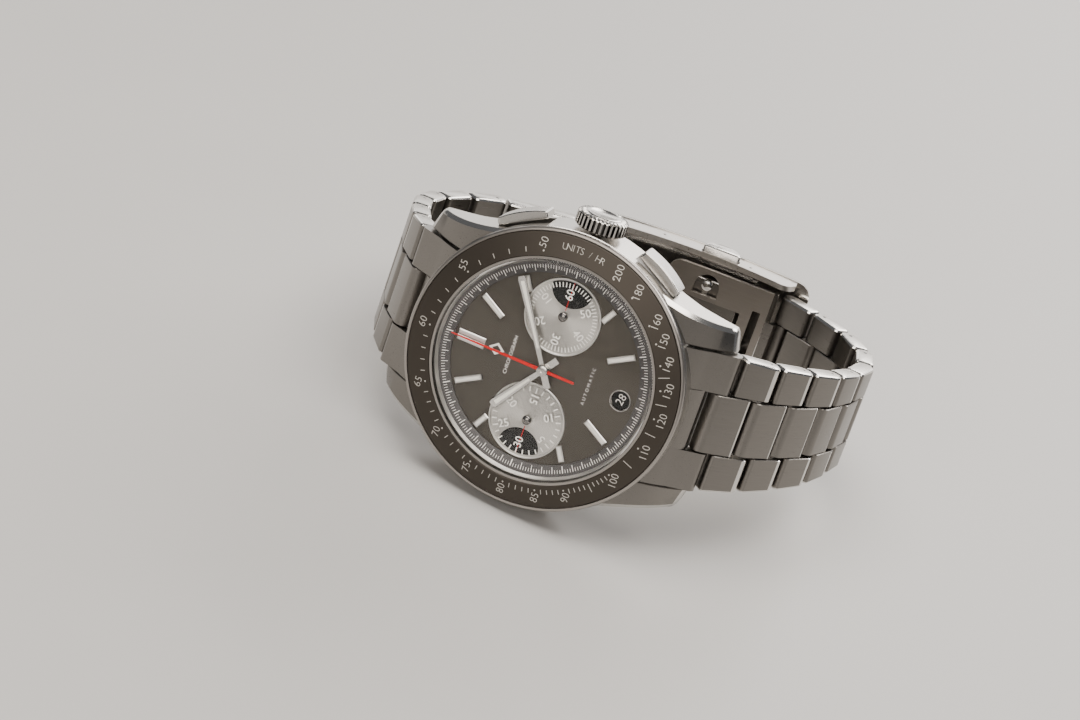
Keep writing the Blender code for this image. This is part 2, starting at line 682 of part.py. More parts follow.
def make_end_link(name, side):
    """The piece that fills the space between case and lugs, with a fork for the first link."""
    top = [(14, -2.4), (17, -3.6), (20, -5.7)]
    nose = arc((HINGE_Y, HINGE_Z), LINK_R, 40, -100, 8)
    outline = top + nose + [(20.6, -9.6), (17, -8.9), (14, -8.6)]
    piece = across(flat(name, [outline], -HALF_WIDTH_AT_CASE, HALF_WIDTH_AT_CASE))
    cut(piece, flat(name + "_case", [circle((0, 0), CASE_R + 0.15, ROUND_STEPS)], -12, 1))
    middle = centre_half(0)
    cut(piece, block(name + "_fork", (-middle, HINGE_Y - LINK_R - 0.15, HINGE_Z - 5),
                     (middle, HINGE_Y + 5, HINGE_Z + 6)))
    cut(piece, rod(name + "_bar_bore", 0.85, (-12, BAR_Y, BAR_Z), (12, BAR_Y, BAR_Z)))
    join(piece, rod(name + "_pin", PIN_R, (-middle - 1, HINGE_Y, HINGE_Z), (middle + 1, HINGE_Y, HINGE_Z)))
    finish(piece, "steel")
    piece.rotation_euler = (0, 0, 0 if side > 0 else math.pi)


def make_spring_bar(name, side):
    bar = turned(name, [(0, 10.9), (0.45, 10.9), (0.45, 10.0), (0.72, 10.0), (0.72, -10.0), (0.45, -10.0),
                        (0.45, -10.9), (0, -10.9)], steps=12)
    finish(bar, "plate", (0, side * BAR_Y, BAR_Z))
    bar.rotation_euler = (0, math.radians(90), 0)


# ---------------------------------------------------------------- clasp

def knuckle(name, centre, radius, half, bore=0.0, arm=None):
    """A hinge eye round a clasp pin, with an optional arm outline that joins it to its plate."""
    outline = circle(centre, radius, 14)
    eye = across(flat(name, [outline], -half, half))
    if arm:
        join(eye, across(flat(name + "_arm", [arm], -half, half)))
    if bore:
        cut(eye, rod(name + "_bore", bore, (-half - 1, *centre), (half + 1, *centre)))
    return eye


def rectangle(half, start, end):
    return [(-half, start), (half, start), (half, end), (-half, end)]


def mirrored(outline):
    return [(-x, y) for x, y in reversed(outline)]


def make_lower_blade(last_centre):
    """Innermost blade: windows, two catches and the tongue held by the last link."""
    corner = 2.0
    edge = [(BLADE_HALF_WIDTH, 2.6)]
    edge += arc((BLADE_HALF_WIDTH - corner, BLADE_SHOULDER - corner), corner, 0, 90, 4)
    edge += [(BLADE_NECK, BLADE_SHOULDER), (BLADE_NECK, 24.6)]
    catch = arc((CATCH_X, CATCH_U), CATCH_R, -90, 90, 8)
    catch += [(3.9, CATCH_U + CATCH_R), (3.9, CATCH_U - CATCH_R)]
    holes = [catch, mirrored(catch), rectangle(3.2, 6.4, 16.5), rectangle(4.3, 3.6, 4.8)]
    blade = flat("clasp_lower_blade", [edge + mirrored(edge)] + holes, BLADE_INNER, BLADE_OUTER)
    lip = [(3.2, BLADE_OUTER - 0.02), (3.2, BLADE_INNER + 0.02), (2.5, -1.95), (2.1, -1.7), (1.9, -1.2),
           (1.95, -0.4), (2.5, -0.4), (2.55, -1.0), (2.75, -1.25)]
    join(blade, across(flat("lower_lip", [lip], -BLADE_HALF_WIDTH, BLADE_HALF_WIDTH)))
    for sign in (1, -1):
        stud = (sign * (CATCH_X + 0.25), CATCH_U)
        join(blade, rod("catch_stud", 0.8, (*stud, -2.35), (*stud, -1.4), 14))
        low, high = sorted((sign * 3.55, sign * CATCH_X))
        join(blade, block("catch_arm", (low, CATCH_U - 0.4, -1.9), (high, CATCH_U + 0.4, -1.5)))
    tongue = knuckle("lower_tongue", (0, 0), LINK_R - 0.05, last_centre - SIDE_GAP, PIN_BORE_R,
                     [(0.8, -1.0), (0.8, 0.6), (2.0, -1.3), (3.4, -1.35), (3.4, -1.95), (1.2, -1.95)])
    eye = knuckle("lower_eye", BLADE_HINGE, KNUCKLE_R, 2.8, 0.42,
                  [(24.0, -1.4), (25.6, -0.8), (25.6, -1.5), (24.0, -1.9)])
    join(blade, tongue, eye)
    return finish(blade, "steel")


def make_upper_blade():
    """Middle blade between the cover and the lower blade; its origin is its own hinge."""
    eye_u, eye_v = COVER_HINGE[0] - BLADE_HINGE[0], COVER_HINGE[1] - BLADE_HINGE[1]
    blade = flat("clasp_upper_blade", [rectangle(UPPER_HALF_WIDTH, eye_u + 1.1, -1.2),
                                       rectangle(2.4, -10.5, -5.0)], 0.5, 1.2)
    for sign in (1, -1):
        low, high = sorted((sign * 2.95, sign * UPPER_HALF_WIDTH))
        join(blade, across(flat("upper_ear", [circle((0, 0), KNUCKLE_R, 14)], low, high)))
        arm = [(-1.8, 1.15), (-1.8, 0.55), (-0.4, -0.2), (0.4, 0.5)]
        join(blade, across(flat("upper_arm", [arm], low, high)))
    join(blade, rod("blade_pin", 0.36, (-4.0, 0, 0), (4.0, 0, 0)))
    arm = [(eye_u + 0.4, eye_v + 0.2), (eye_u + 1.7, eye_v - 0.35), (eye_u + 1.7, eye_v - 0.95),
           (eye_u + 0.4, eye_v - 0.5)]
    join(blade, knuckle("upper_eye", (eye_u, eye_v), KNUCKLE_R, 2.8, 0.42, arm))
    return finish(blade, "steel")


def cover_curve(low, bow, start, end, span, steps=10):
    """Points along the clasp whose distance from the wrist follows the cover's bow."""
    middle = (COVER_START + span - COVER_END_CLEARANCE) / 2
    half = middle - COVER_START
    stops = [start + (end - start) * i / steps for i in range(steps + 1)]
    return [(u, low + bow * (1 - ((u - middle) / half) ** 2)) for u in stops]


def make_cover(span, last_centre):
    """Outer cover: a bowed plate with two side flanges, button slots and hinge ears."""
    end = span - COVER_END_CLEARANCE
    corner = 2.0
    rim = arc((COVER_HALF_WIDTH - corner, end - corner), corner, 0, 90, 4)
    foot = arc((-COVER_HALF_WIDTH + corner, COVER_START + corner), corner, 180, 270, 4)
    plan = rim + mirrored(rim) + foot + mirrored(foot)
    band = cover_curve(COVER_OUTER, COVER_BOW, COVER_START, end, span)
    band += cover_curve(COVER_OUTER - COVER_PLATE, COVER_BOW, end, COVER_START, span)
    cover = across(flat("clasp_cover", [band], -COVER_HALF_WIDTH, COVER_HALF_WIDTH))
    combine(cover, flat("cover_plan", [plan], 0.0, 8.0), "INTERSECT")
    side = cover_curve(COVER_OUTER - 0.4, COVER_BOW, end - 0.8, 0.2, span)
    side += [(0.2, 0.5)] + cover_curve(FLANGE_INNER, FLANGE_BOW, 2.2, end - 2.6, span)
    side += [(end - 0.8, 0.0)]
    inner = FLANGE_HALF_WIDTH - FLANGE_THICKNESS
    for sign in (1, -1):
        low, high = sorted((sign * inner, sign * FLANGE_HALF_WIDTH))
        join(cover, across(flat("clasp_flange", [side, button_outline(0.1)], low, high)))
        low, high = sorted((sign * 2.95, sign * 4.6))
        ear = [(4.8, 4.0), (5.1, 0.1)] + arc(COVER_HINGE, KNUCKLE_R, 200, 340, 6) + [(6.9, 4.0)]
        join(cover, across(flat("cover_ear", [ear], low, high)))
    join(cover, rod("cover_pin", 0.36, (-4.0, *COVER_HINGE), (4.0, *COVER_HINGE)))
    tongue = [(end - 3.0, 3.0), (end - 3.0, 2.0), (span - 1.9, 1.0), (span - 0.9, -0.9), (span, -0.6),
              (span + 0.3, 0.6), (span - 0.9, 1.0), (end - 0.3, 2.3)]
    half = last_centre - SIDE_GAP
    eye = across(flat("cover_tongue", [tongue], -half, half))
    join(eye, across(flat("cover_eye", [circle((span, 0), COVER_EYE_R, 14)], -half, half)))
    join(cover, eye)
    return finish(cover, "polished")


def button_outline(grow):
    """The push-button's outline (u, v), rounded on the side away from the wrist."""
    reach = BUTTON_R + grow
    foot = BUTTON_FOOT - grow
    feet = [(BUTTON_U - reach, foot), (BUTTON_U + reach, foot)]
    return arc((BUTTON_U, BUTTON_V), reach, 0, 180, 10) + feet


def make_button(name, sign):
    low, high = sorted((sign * BUTTON_INNER, sign * BUTTON_OUTER))
    button = across(flat(name, [button_outline(0)], low, high))
    bevel(button, BUTTON_BEVEL)
    return finish(button, "polished")


def make_clasp(six_end, twelve_end):
    span = (twelve_end - six_end).length
    direction = math.degrees(math.atan2(twelve_end.y - six_end.y, twelve_end.x - six_end.x))
    centre = centre_half(len(SIX_DIRECTIONS))
    fixed = [make_lower_blade(centre), make_cover(span, centre)]
    fixed += [make_button("clasp_button_top", -1), make_button("clasp_button_bottom", 1)]
    for piece in fixed:
        place(piece, six_end, direction, -1)
    blade = make_upper_blade()
    a = math.radians(direction)
    along, out = Vector((math.cos(a), math.sin(a))), Vector((math.sin(a), -math.cos(a)))
    place(blade, six_end + BLADE_HINGE[0] * along + BLADE_HINGE[1] * out, direction, -1)
    return [button_foot(six_end + u * along + v * out) for u, v in button_outline(-BUTTON_BEVEL)]


def button_foot(point):
    return Vector((-BUTTON_OUTER, point.x, point.y))


# ---------------------------------------------------------------- rest pose

def lay_on_ground(rim):
    """Lean the watch until a facet of the case flank and the lower push-button touch the ground."""
    facet = [Vector((x, y, FLANK_Z)) for x, y in arc((0, 0), CASE_R, 180, 180 - 360 / ROUND_STEPS, 1)]
    up = Vector((1, 0, 0))
    for _ in range(6):
        foot = min(rim, key=up.dot)
        up = (facet[1] - facet[0]).cross(foot - facet[0]).normalized()
        up *= math.copysign(1, up.x)
    east = Vector((0, -1, 0))
    east = (east - east.dot(up) * up).normalized()
    WATCH.matrix_world = Matrix((east, up.cross(east), up)).to_4x4()


def stand_on_origin():
    """Move the watch so that its box stands on the ground, centred on the origin."""
    bpy.context.view_layer.update()
    graph = bpy.context.evaluated_depsgraph_get()
    corners = []
    for piece in PARTS.objects:
        if piece.type == "MESH":
            shape = piece.evaluated_get(graph)
            corners += [shape.matrix_world @ v.co for v in shape.data.vertices]
    low = Vector([min(c[i] for c in corners) for i in range(3)])
    high = Vector([max(c[i] for c in corners) for i in range(3)])
    WATCH.location = -Vector(((low.x + high.x) / 2, (low.y + high.y) / 2, low.z))


def build():
    make_case_middle()
    make_bezel()
    make_crystal()
    make_case_back()
    make_crown()
    make_pusher("pusher_top", 1)
    make_pusher("pusher_bottom", -1)
    make_dial()
    make_subdial("seconds", 1)
    make_subdial("minute_counter", -1)
    make_hands()
    make_train()
    make_escapement()
    make_plates()
    make_rotor()
    for name, side in (("end_link_12", 1), ("end_link_6", -1)):
        make_end_link(name, side)
    for name, side in (("spring_bar_12", 1), ("spring_bar_6", -1)):
        make_spring_bar(name, side)
    six = make_half_bracelet("link_6", -1, SIX_DIRECTIONS, True)
    twelve = make_half_bracelet("link_12", 1, TWELVE_DIRECTIONS, False)
    lay_on_ground(make_clasp(six[-1], twelve[-1]))
    stand_on_origin()


clear_scene()
PARTS = new_collection("chronograph_wristwatch")
CUTTERS = new_collection("cutters")
WATCH = bpy.data.objects.new("watch_axes", None)
PARTS.objects.link(WATCH)
build()
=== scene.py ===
"""Looks of the chronograph wristwatch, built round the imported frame.

Lengths are in millimetres in the watch frame unless a name says otherwise:
+X to 3 o'clock, +Y to 12 o'clock, +Z out of the dial, zero at the bezel's face.
"""
import json
import math

import bmesh
import bpy
from mathutils import Matrix, Vector


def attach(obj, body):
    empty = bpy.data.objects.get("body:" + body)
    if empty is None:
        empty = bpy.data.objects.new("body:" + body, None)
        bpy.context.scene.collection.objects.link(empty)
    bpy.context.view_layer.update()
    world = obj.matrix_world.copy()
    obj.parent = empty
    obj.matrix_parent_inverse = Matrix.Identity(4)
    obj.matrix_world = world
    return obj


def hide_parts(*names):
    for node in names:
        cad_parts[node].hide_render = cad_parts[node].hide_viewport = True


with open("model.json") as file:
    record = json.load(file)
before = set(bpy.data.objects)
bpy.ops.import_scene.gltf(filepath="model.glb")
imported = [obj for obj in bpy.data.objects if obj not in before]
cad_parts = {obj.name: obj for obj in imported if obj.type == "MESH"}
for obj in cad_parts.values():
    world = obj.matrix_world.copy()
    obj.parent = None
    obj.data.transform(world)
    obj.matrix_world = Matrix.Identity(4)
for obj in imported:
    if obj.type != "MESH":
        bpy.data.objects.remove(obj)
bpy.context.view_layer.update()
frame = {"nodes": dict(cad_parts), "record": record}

RECORD = frame["record"]
JOINTS = {joint["name"]: joint for joint in RECORD["behaviour"]["joints"]}
MM = 0.001
PRINT_HEIGHT = 0.02

# Case
CASE_R = 19.3
CASE_TOP = -1.4
FLANK_Z = -8.2
CASE_BOTTOM = -9.0
BORE_R = 14.9
CRYSTAL_R = 15.0
BEZEL_R = 19.4
INSERT_OUTER_R = 18.85
INSERT_INNER_R = 15.6
INSERT_TOP = 0.12
INSERT_SLOPE = 0.74 / 3.3
LUG_INNER = 10.15
LUG_ROOT_Y = 8
LUG_SPAN = 14
LUG_STEPS = 16
LUG_START_Y = 9
LUG_RUN = 13
LUG_TOP = -1.75
LUG_DROP = 6.1
LUG_TIP_Y = 22.5
LUG_CHAMFER = 0.55
LUG_SLANT = 0.3
CROWN_Z = -5.3
CROWN_R = 3.5
CROWN_START = 19.6
CROWN_END = 21.8
CROWN_FLUTES = 32
PUSHER_ANGLE = 29.6
PUSHER_WIDTH = 7.0
PUSHER_HEIGHT = 3.4
PUSHER_INNER = 19.5
PUSHER_OUTER = 21.0
POCKET_INNER = 18.55
POCKET_GAP = 0.12
BEZEL_NUMBER_R = 17.42
BEZEL_DOT_R = 16.35
BEZEL_TICK_INNER = 16.2
BEZEL_TICK_OUTER = 16.85
BEZEL_LONG_OUTER = 17.45
BEZEL_TICK_WIDTH = 0.09

# Dial
DIAL_TOP = -1.75
DIAL_R = 14.6
CHAPTER_INNER_R = 13.1
CHAPTER_OUTER_R = 14.6
CHAPTER_LOW = -1.52
CHAPTER_HIGH = -1.1
CHAPTER_TICKS = 240
CHAPTER_TICK_OUTER = 14.22
SUBDIAL_X = 7.6
SUBDIAL_R = 5.3
DISH_Z = -2.0
DISC_TOP = -1.62
DISC_LOW = -1.75
DISC_R = 4.95
SECTOR_R = 4.86
DATE_Y = -11.0
DATE_R = 1.5
DATE_DISC_TOP = -2.3
MARKER_OUTER_R = 12.8
MARKER_INNER_R = 8.8
MARKER_SHORT_R = 10.5
MARKER_WIDTH = 0.85
MARKER_HEIGHT = 0.38
TWIN_OFFSET = 0.41
TWIN_WIDTH = 0.74
MINUTE_ANGLE = 57.6
HOUR_ANGLE = 304.8
HOUR_HAND_Z = (-1.33, -1.17)
MINUTE_HAND_Z = (-1.08, -0.93)
NEEDLE_Z = (-0.83, -0.71)
DATE_TODAY = 28
DATE_LEAN = 12

# Bracelet
PITCH = 6.2
LINK_THICKNESS = 2.7
LINK_R = LINK_THICKNESS / 2
LINK_GAP = 0.3
SIDE_GAP = 0.12
HALF_WIDTH_AT_CASE = 9.9
HALF_WIDTH_AT_CLASP = 7.6
TAPER_LINKS = 4.5
CENTRE_SHARE = 0.45
HINGE_Y = 22.0
HINGE_Z = -8.4
SIX_LINKS = 9
TWELVE_LINKS = 8
OVERBEND = 3

# Clasp, along its own axis from the last six o'clock hinge
COVER_HALF_WIDTH = 9.45
FLANGE_HALF_WIDTH = 9.3
FLANGE_THICKNESS = 0.8
COVER_OUTER = 2.6
COVER_BOW = 2.6
COVER_PLATE = 0.9
FLANGE_INNER = -3.0
FLANGE_BOW = 3.4
COVER_START = -2.2
COVER_END_CLEARANCE = 2.5
COVER_HINGE = (5.9, 0.4)
BLADE_HINGE = (26.0, -1.1)
KNUCKLE_R = 0.8
KNUCKLE_HALF = 2.8
FORK_INNER = 2.95
PIN_HEADS = ((7.25, 1.2), (20.6, 2.0))
COVER_EYE_R = 0.95
BLADE_HALF_WIDTH = 7.8
BLADE_NECK = 5.2
BLADE_SHOULDER = 18.4
BLADE_INNER = -2.0
BLADE_OUTER = -1.3
UPPER_HALF_WIDTH = 5.9
CATCH_X = 5.2
CATCH_U = 12.2
CATCH_R = 1.85
BUTTON_U = 11.9
BUTTON_V = 1.4
BUTTON_R = 2.8
BUTTON_FOOT = 0.9
BUTTON_OUTER = 10.3
BUTTON_INNER = 7.9
CLASP_SIDES = ((1, "a"), (-1, "b"))

# Stage: the camera in watch axes, the rest in metres in the row frame
VIEW_RIGHT = (0.31527, -0.90498, -0.28569)
VIEW_BACK = (0.30869, -0.18688, 0.93262)
EYE = (144.0, -85.65, 430.73)
LENS = 116.67
FLOOR_COLOUR = (0.52, 0.51, 0.50)
FLOOR_HALF = 3
LIGHT_TARGET = (0, 0, 0.02)


# ---------------- places

def joint_point(name):
    return Vector(JOINTS[name]["pos_m"])


def joint_axis(name):
    return Vector(JOINTS[name]["axis"]).normalized()


def basis(x, y, z, origin):
    """A matrix from three axes at an origin to the row frame."""
    turn = Matrix((x, y, z)).transposed().to_4x4()
    return Matrix.Translation(origin) @ turn


def watch_matrix():
    z = -joint_axis("minute_hand_turn")
    x = joint_axis("crown_turn")
    return basis(x, z.cross(x), z, joint_point("minute_hand_turn"))


WATCH = watch_matrix()


def turn_z(degrees):
    return Matrix.Rotation(math.radians(degrees), 4, "Z")


def shift(x, y, z):
    return Matrix.Translation(Vector((x, y, z)) * MM)


def on_circle(radius, clock_degrees):
    a = math.radians(clock_degrees)
    return radius * math.sin(a), radius * math.cos(a)


def arc(centre, radius, start, end, steps):
    angles = [math.radians(start + (end - start) * i / steps) for i in range(steps + 1)]
    return [(centre[0] + radius * math.cos(a), centre[1] + radius * math.sin(a)) for a in angles]


def circle(centre, radius, steps):
    return arc(centre, radius, 0, 360, steps)[:-1]


# ---------------- materials

def base_material(name, colour, roughness, metallic):
    material = bpy.data.materials.new(name)
    material.use_nodes = True
    shader = material.node_tree.nodes["Principled BSDF"]
    feed(shader, {"Base Color": (*colour, 1), "Roughness": roughness, "Metallic": metallic})
    return material, shader


def feed(made, inputs):
    """Link a node's inputs that come from a socket, and set the rest."""
    for key, value in inputs.items():
        if isinstance(value, bpy.types.NodeSocket):
            made.id_data.links.new(value, made.inputs[key])
        else:
            made.inputs[key].default_value = value


def node(material, kind, inputs=None, **settings):
    made = material.node_tree.nodes.new(kind)
    for key, value in settings.items():
        setattr(made, key, value)
    feed(made, inputs or {})
    return made


def polar(material):
    """The angle and the radius of a point about the object's Z axis, as two sockets."""
    where = node(material, "ShaderNodeTexCoord")
    parts = node(material, "ShaderNodeSeparateXYZ", {0: where.outputs["Object"]})
    x, y = parts.outputs["X"], parts.outputs["Y"]
    angle = node(material, "ShaderNodeMath", {0: y, 1: x}, operation="ARCTAN2")
    flat = node(material, "ShaderNodeCombineXYZ", {"X": x, "Y": y})
    radius = node(material, "ShaderNodeVectorMath", {0: flat.outputs[0]}, operation="LENGTH")
    return angle.outputs[0], radius.outputs["Value"]


def noise(material, vector, scale=1.0, detail=3.0, dimensions="3D"):
    inputs = {"Scale": scale, "Detail": detail, "W" if dimensions == "1D" else "Vector": vector}
    return node(material, "ShaderNodeTexNoise", inputs, noise_dimensions=dimensions).outputs["Fac"]


def grain(material, scale, detail=3.0):
    """Noise over the object; scale is per metre, one number for all axes or one for each."""
    where = node(material, "ShaderNodeTexCoord").outputs["Object"]
    stretch = scale if isinstance(scale, tuple) else (scale,) * 3
    mapping = node(material, "ShaderNodeMapping", {"Scale": stretch, "Vector": where})
    return noise(material, mapping.outputs["Vector"], detail=detail)


def vary(material, shader, fac, colour, spread, roughness, rough_spread):
    """Let a noise drive the colour and the roughness a little either way."""
    pale, dark = ((*[min(c * share, 1) for c in colour], 1) for share in (1 + spread, 1 - spread))
    ramp = node(material, "ShaderNodeMix", {"A": dark, "B": pale, "Factor": fac}, data_type="RGBA")
    span = node(material, "ShaderNodeMapRange", {
        "To Min": roughness - rough_spread, "To Max": roughness + rough_spread, "Value": fac})
    feed(shader, {"Base Color": ramp.outputs["Result"], "Roughness": span.outputs["Result"]})


def bump(material, shader, fac, strength, distance):
    made = node(material, "ShaderNodeBump", {
        "Strength": strength, "Distance": distance * MM, "Height": fac})
    feed(shader, {"Normal": made.outputs["Normal"]})


def streaked(name, colour, roughness, scale):
    """Brushed metal whose hair lines run along the axis with the small scale."""
    material, shader = base_material(name, colour, roughness, 1)
    fac = grain(material, scale)
    vary(material, shader, fac, colour, 0.1, roughness, 0.07)
    bump(material, shader, fac, 0.25, 0.01)
    return material


def polished(name, colour, roughness=0.09):
    """Mirror metal with faint handling marks."""
    material, shader = base_material(name, colour, roughness, 1)
    fac = grain(material, 700, detail=6)
    vary(material, shader, fac, colour, 0.03, roughness, 0.035)
    return material


def speckled(name, colour, roughness, metallic=0.0, scale=9000, gloss=0.5):
    """Lacquer, rubber or print with a fine even grain."""
    material, shader = base_material(name, colour, roughness, metallic)
    feed(shader, {"Specular IOR Level": gloss})
    fac = grain(material, scale)
    vary(material, shader, fac, colour, 0.08, roughness, 0.05)
    bump(material, shader, fac, 0.1, 0.01)
    return material


def sunray(name, colour, roughness, metallic, spread, lines):
    """A surface brushed from its centre outward, with a fine grain over the rays."""
    material, shader = base_material(name, colour, roughness, metallic)
    rays = noise(material, polar(material)[0], scale=lines, detail=4, dimensions="1D")
    vary(material, shader, rays, colour, spread, roughness, 0.05)
    bump(material, shader, grain(material, 12000), 0.05, 0.008)
    return material


def record_turned(name, colour, roughness, metallic, groove=0.2):
    """Concentric turned grooves, one every groove millimetres."""
    material, shader = base_material(name, colour, roughness, metallic)
    turns = {0: polar(material)[1], 1: 2 * math.pi / (groove * MM)}
    phase = node(material, "ShaderNodeMath", turns, operation="MULTIPLY")
    wave = node(material, "ShaderNodeMath", {0: phase.outputs[0]}, operation="SINE")
    level = node(material, "ShaderNodeMapRange", {"From Min": -1, "Value": wave.outputs[0]})
    vary(material, shader, level.outputs["Result"], colour, 0.09, roughness, 0.04)
    bump(material, shader, level.outputs["Result"], 0.35, 0.012)
    tangent = node(material, "ShaderNodeTangent", direction_type="RADIAL", axis="Z")
    feed(shader, {"Anisotropic": 0.75, "Tangent": tangent.outputs[0]})
    return material


def clear_glass(name, index):
    """Coated glass that lets lamps through, with the faintest uneven tint."""
    material, shader = base_material(name, (1, 1, 1), 0, 0)
    colours = {"A": (0.97, 0.975, 0.98, 1), "B": (1, 1, 1, 1), "Factor": grain(material, 300)}
    tint = node(material, "ShaderNodeMix", colours, data_type="RGBA")
    feed(shader, {"Transmission Weight": 1, "IOR": index, "Base Color": tint.outputs["Result"]})
    path = node(material, "ShaderNodeLightPath")
    through = node(material, "ShaderNodeBsdfTransparent")
    mix = node(material, "ShaderNodeMixShader", {
        0: path.outputs["Is Shadow Ray"], 1: shader.outputs[0], 2: through.outputs[0]})
    feed(material.node_tree.nodes["Material Output"], {"Surface": mix.outputs[0]})
    return material


# The brushed steel colour is painted darker than the metal is: painted shade on the tops of the case,
# lugs, links and clasp, and on the case back.
STEEL_PAINTED_SHADE = (0.215, 0.202, 0.186)
# The same brushed steel painted lighter for the outer sides: painted light.
FLANK_PAINTED_LIGHT = (0.60, 0.575, 0.54)
BRIGHT = (0.66, 0.64, 0.61)
ALONG_Y = (7000, 260, 7000)

LOOKS = {
    # Painted shade: the darker brushed steel for the tops.
    "brushed": streaked("steel_brushed_painted_shade", STEEL_PAINTED_SHADE, 0.30, ALONG_Y),
    # A lighter copy of the brushed steel: painted light on the lower clasp blade.
    "blade": streaked("steel_blade_painted_light", (0.33, 0.30, 0.27), 0.32, ALONG_Y),
    # Painted light: the lighter copy of the brushed steel on the outer sides of the case, lugs, links,
    # clasp flanges and blade bevels.
    "flank": streaked("steel_flank_painted_light", FLANK_PAINTED_LIGHT, 0.30, (2500, 2500, 7000)),
    "flange": polished("steel_flange", (0.60, 0.58, 0.55), 0.2),
    # A darker copy of polished steel: painted shade that dims the bezel's edge ring and the crystal
    # seal.
    "ring": polished("steel_ring_painted_shade", (0.36, 0.335, 0.31), 0.3),
    "polished": polished("steel_polished", BRIGHT),
    "rim": polished("steel_fine_rim", (0.80, 0.78, 0.745), 0.34),
    "satin_edge": polished("steel_polished_soft", BRIGHT, 0.17),
    # A dark copy of polished steel: painted shade and painted dark reflection on marker flanks, hand
    # edges, hub caps and pin heads.
    "hub": polished("steel_dark_painted_shade", (0.22, 0.21, 0.20), 0.14),
    # Near-black steel: painted shade in the crown's flute grooves.
    "groove": polished("steel_groove_painted_shade", (0.10, 0.095, 0.09), 0.3),
    "insert": sunray("bezel_insert_lacquer", (0.050, 0.0415, 0.033), 0.38, 0.6, 0.05, 300),
    "dial": sunray("dial_lacquer", (0.055, 0.048, 0.0385), 0.45, 0.5, 0.07, 60),
    "chapter": sunray("chapter_lacquer", (0.05, 0.047, 0.047), 0.35, 0.3, 0.05, 200),
    "dish": record_turned("subdial_silver", (0.52, 0.50, 0.465), 0.32, 0.9),
    "back": record_turned("case_back_turned", STEEL_PAINTED_SHADE, 0.3, 1.0, 0.3),
    "sector": speckled("subdial_sector_grey", (0.011, 0.011, 0.0105), 0.5, gloss=0.15),
    "print": speckled("white_print", (0.82, 0.80, 0.76), 0.5, scale=6000),
    "silver_print": speckled("silver_print", (0.60, 0.57, 0.52), 0.4, metallic=0.2, scale=6000),
    "red": speckled("red_lacquer", (0.46, 0.003, 0.003), 0.4, scale=5000, gloss=0.2),
    "lume": speckled("pale_lume", (0.74, 0.72, 0.65), 0.7, scale=12000),
    "glass": clear_glass("sapphire", 1.22),
    "disc": clear_glass("clear_disc", 1.14),
    "rubber": speckled("seal_rubber", (0.008, 0.008, 0.008), 0.6, gloss=0.2),
    "black": speckled("black_disc", (0.006, 0.006, 0.006), 0.5, gloss=0.1),
    "brass": polished("gilt_brass", (0.78, 0.56, 0.24), 0.2),
    "plate": streaked("rhodium_plate", (0.62, 0.60, 0.56), 0.3, (3000, 3000, 900)),
    # Near-black: painted shade on the link pin ends, as if they sat in a recess.
    "dark": speckled("painted_shade_recess", (0.02, 0.02, 0.02), 0.5, metallic=0.5),
}


# ---------------- building

def place(piece, matrix, body, looks, replaced=()):
    """Scale a piece from millimetres, set it in the row frame and tie it to its CAD body."""
    piece.data.transform(Matrix.Scale(MM, 4))
    for look in looks:
        piece.data.materials.append(LOOKS[look])
    piece.matrix_world = matrix
    if replaced:
        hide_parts(*replaced)
    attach(piece, body)


def new_object(name, data):
    made = bpy.data.objects.new(name, data)
    bpy.context.scene.collection.objects.link(made)
    return made


def evaluated_mesh(shown):
    """A new mesh of an object with its modifiers applied."""
    bpy.context.view_layer.update()
    return bpy.data.meshes.new_from_object(shown.evaluated_get(bpy.context.evaluated_depsgraph_get()))


def from_bmesh(name, work, sharp=35):
    mesh = bpy.data.meshes.new(name)
    bmesh.ops.remove_doubles(work, verts=work.verts, dist=1e-5)
    bmesh.ops.recalc_face_normals(work, faces=work.faces)
    work.to_mesh(mesh)
    work.free()
    mesh.shade_smooth()
    mesh.set_sharp_from_angle(angle=math.radians(sharp))
    return new_object(name, mesh)


def build(name, work, matrix, body, looks, replaced=(), sharp=35):
    """Make a piece of a bmesh and place it."""
    piece = from_bmesh(name, work, sharp)
    place(piece, matrix, body, looks, replaced)
    return piece


def lathe(work, profile, steps=128, closed=False, bands=None):
    """Turn (radius, z) points about Z; bands gives the material of the spans that aren't plain."""
    rings = []
    for r, z in profile:
        if r < 1e-6:
            rings.append([work.verts.new((0, 0, z))])
            continue
        turns = [2 * math.pi * i / steps for i in range(steps)]
        rings.append([work.verts.new((r * math.cos(a), r * math.sin(a), z)) for a in turns])
    spans = list(zip(rings, rings[1:]))
    if closed:
        spans.append((rings[-1], rings[0]))
    for index, (a, b) in enumerate(spans):
        for i in range(steps):
            j = (i + 1) % steps
            corners = [a[i % len(a)], a[j % len(a)], b[j % len(b)], b[i % len(b)]]
            unique = list(dict.fromkeys(corners))
            if len(unique) > 2:
                face = work.faces.new(unique)
                face.material_index = bands.get(index, 0) if bands else 0


def turned(name, profile, steps=128, closed=False, bands=None, sharp=35):
    work = bmesh.new()
    lathe(work, profile, steps, closed, bands)
    return from_bmesh(name, work, sharp)


def spin(name, profile, matrix, body, looks, replaced=(), slot=None, **how):
    """Turn a piece and place it; how says the steps, closed, bands and sharp of turned."""
    place(turned(name, profile, **how), matrix, body, looks, replaced)


def outline_mesh(outlines, low, high):
    """Closed outlines, the first outside and the rest holes, filled from low to high."""
    curve = bpy.data.curves.new("outline", "CURVE")
    curve.dimensions = "2D"
    curve.fill_mode = "BOTH"
    curve.extrude = (high - low) / 2
    for outline in outlines:
        spline = curve.splines.new("POLY")
        spline.points.add(len(outline) - 1)
        spline.use_cyclic_u = True
        for point, (x, y) in zip(spline.points, outline):
            point.co = (x, y, 0, 1)
    return curve_to_mesh(curve, (low + high) / 2)


